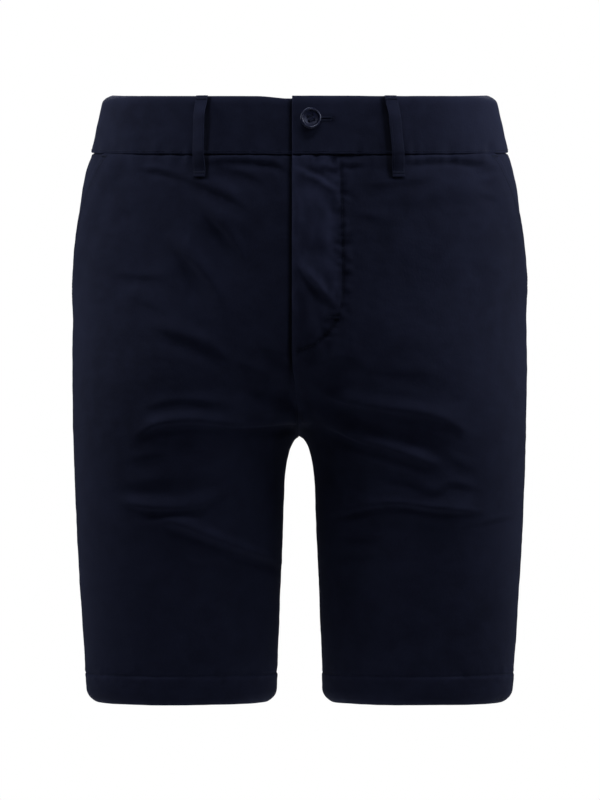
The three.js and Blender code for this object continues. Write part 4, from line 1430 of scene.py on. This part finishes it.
def twill_material():
    """Dark navy cotton twill: fine diagonal ribs, a slightly uneven dye and rubbed edges, with painted shade
    in crevices and a painted highlight on the fly's placket.
    """
    m = Nodes("navy_twill")
    cloth = m.add("ShaderNodeUVMap", uv_map="cloth").outputs["UV"]
    turned = m.mapped(cloth, Rotation=(0, 0, TWILL_ANGLE))
    wave = {"Vector": turned, "Scale": TWILL_SCALE, "Distortion": 1.6, "Detail": 2.0, "Detail Scale": 1.4}
    ribs = m.add("ShaderNodeTexWave", wave).outputs["Fac"]
    yarn = m.noise(cloth, 2600.0, 2.0)
    slub = m.noise(m.mapped(cloth, Scale=(1, 0.35, 1)), 700.0)
    dye = m.noise(m.body, 9.0)
    patch = m.noise(m.body, 60.0)
    coarse = m.noise(m.body, 420.0)
    wear_and_painted_light_fac = m.add("ShaderNodeAttribute", attribute_name="wear_and_painted_light").outputs["Fac"]
    # Values above 0 lighten the cloth: rubbed edges and the painted highlight on the placket
    rubbed_and_painted_light = m.math("MULTIPLY", m.math("MAXIMUM", wear_and_painted_light_fac, 0.0), m.ramp(patch, 0.25, 0.75, 0.1, 0.6))
    shade = m.blend(m.ramp(dye, 0.3, 0.7, 0, 1), NAVY_DEEP, NAVY)
    shade = m.blend(m.ramp(patch, 0.4, 0.75, 0, 0.5), shade, NAVY_LIGHT)
    shade = m.blend(m.ramp(ribs, 0, 1, 0.22, 0), shade, NAVY_DEEP)
    shade = m.blend(m.ramp(slub, 0.45, 0.8, 0, 0.4), shade, NAVY_LIGHT)
    shade = m.blend(rubbed_and_painted_light, shade, NAVY_WORN_AND_HIGHLIGHT)
    # Painted shade: values below 0 darken the cloth towards a near black
    shade = m.blend(m.ramp(wear_and_painted_light_fac, 0, -1, 0, 0.85), shade, NAVY_PAINTED_SHADE)
    height = m.math("ADD", m.math("MULTIPLY", ribs, 0.5), m.math("MULTIPLY", yarn, 0.35))
    height = m.math("ADD", height, m.math("MULTIPLY", slub, 0.5))
    weave = m.bump(coarse, 0.25, 0.0006, Normal=m.bump(height, 0.5, 0.0003))
    m.set(Base_Color=shade, Roughness=m.ramp(slub, 0.2, 0.8, 0.82, 0.95), Normal=weave)
    m.set(Sheen_Weight=0.032, Sheen_Roughness=0.42, Sheen_Tint=SHEEN)
    m.set(Specular_IOR_Level=0.05, Specular_Tint=SHINE)
    return m.material


def thread_material():
    """Navy sewing thread, a little smoother than the cloth."""
    m = Nodes("navy_thread")
    twist = m.noise(m.body, 1900.0, 2.0)
    shade = m.blend(m.ramp(m.noise(m.body, 150.0), 0.3, 0.7, 0, 1), THREAD_DEEP, THREAD_LIGHT)
    rough = m.ramp(twist, 0.3, 0.7, 0.5, 0.7)
    m.set(Base_Color=shade, Roughness=rough, Normal=m.bump(twist, 0.6, 0.0002))
    m.set(Specular_IOR_Level=0.08, Specular_Tint=SHINE)
    return m.material


def button_material():
    """Moulded navy plastic with a slightly cloudy, scuffed shine."""
    m = Nodes("navy_button")
    scuff = m.noise(m.body, 1500.0, 4.0)
    shade = m.blend(m.ramp(m.noise(m.body, 320.0), 0.35, 0.7, 0, 1), BUTTON_DEEP, BUTTON_LIGHT)
    rough = m.ramp(scuff, 0.3, 0.75, 0.28, 0.42)
    m.set(Base_Color=shade, Roughness=rough, Normal=m.bump(scuff, 0.2, 0.0002))
    m.set(Specular_IOR_Level=0.3, Specular_Tint=BUTTON_SHINE)
    return m.material


def floor_material():
    m = Nodes("pale_floor")
    m.set(Base_Color=m.blend(m.noise(m.body, 3.0), FLOOR_GREY, FLOOR_WHITE), Roughness=0.9)
    return m.material


# Stage, light and camera


def floor():
    disc = add_mesh("floor", round_points([(FLOOR_RADIUS, 0.0)], FLOOR_SIDES), [range(FLOOR_SIDES)])
    disc.location = (0, 0, FLOOR_Z)
    disc.data.materials.append(floor_material())


def soft_box(name, at, size, power):
    light = bpy.data.lights.new(name, "AREA")
    light.shape = "RECTANGLE"
    light.size, light.size_y = size
    light.energy = power
    light.color = LAMP_TINT
    lamp = bpy.data.objects.new(name, light)
    lamp.location = at
    lamp.rotation_euler = (MIDDLE - Vector(at)).to_track_quat("-Z", "Y").to_euler()
    lamp.visible_camera = False
    bpy.context.collection.objects.link(lamp)


def studio():
    """A white backdrop that gives only a weak fill light."""
    world = bpy.data.worlds.new("studio")
    world.use_nodes = True
    tree = world.node_tree
    fill = tree.nodes["Background"]
    fill.inputs["Color"].default_value = FILL["color"]
    fill.inputs["Strength"].default_value = FILL["strength"]
    backdrop = tree.nodes.new("ShaderNodeBackground")
    backdrop.inputs["Color"].default_value = BACKDROP
    path = tree.nodes.new("ShaderNodeLightPath")
    both = tree.nodes.new("ShaderNodeMixShader")
    tree.links.new(path.outputs["Is Camera Ray"], both.inputs["Fac"])
    tree.links.new(fill.outputs[0], both.inputs[1])
    tree.links.new(backdrop.outputs[0], both.inputs[2])
    tree.links.new(both.outputs[0], tree.nodes["World Output"].inputs["Surface"])
    bpy.context.scene.world = world


def camera():
    data = bpy.data.cameras.new("camera")
    data.lens = LENS
    data.sensor_width = SENSOR
    item = bpy.data.objects.new("camera", data)
    item.location = CAMERA_AT
    item.rotation_euler = (math.radians(90), 0, 0)
    bpy.context.collection.objects.link(item)
    bpy.context.scene.camera = item


def main():
    camera()
    floor()
    for box in SOFT_BOXES:
        soft_box(*box)
    studio()
    bpy.context.scene.view_settings.view_transform = "Standard"
    twill = twill_material()
    thread = thread_material()
    makers = {
        "front": front_panel,
        "back": back_panel,
        "pocket_facing": pocket_facing,
        "waistband": waistband,
    }
    for side, word in ((1, "left"), (-1, "right")):
        for name, make in makers.items():
            make(side, f"{name}_{word}", twill)
        sewing = Sewing()
        hem_sewing(sewing, side)
        pocket_sewing(sewing, side)
        band_sewing(sewing, side)
        if side > 0:
            fly_sewing(sewing)
            buttonhole_sewing(sewing)
        sewing.mesh("stitching_" + word, thread)
    sewing = Sewing()
    for name, face, x, lean, twist in LOOPS:
        belt_loop(name, face, x, lean, twist, twill, sewing)
    sewing.mesh("stitching_loops", thread)
    button(button_material(), thread)


main()
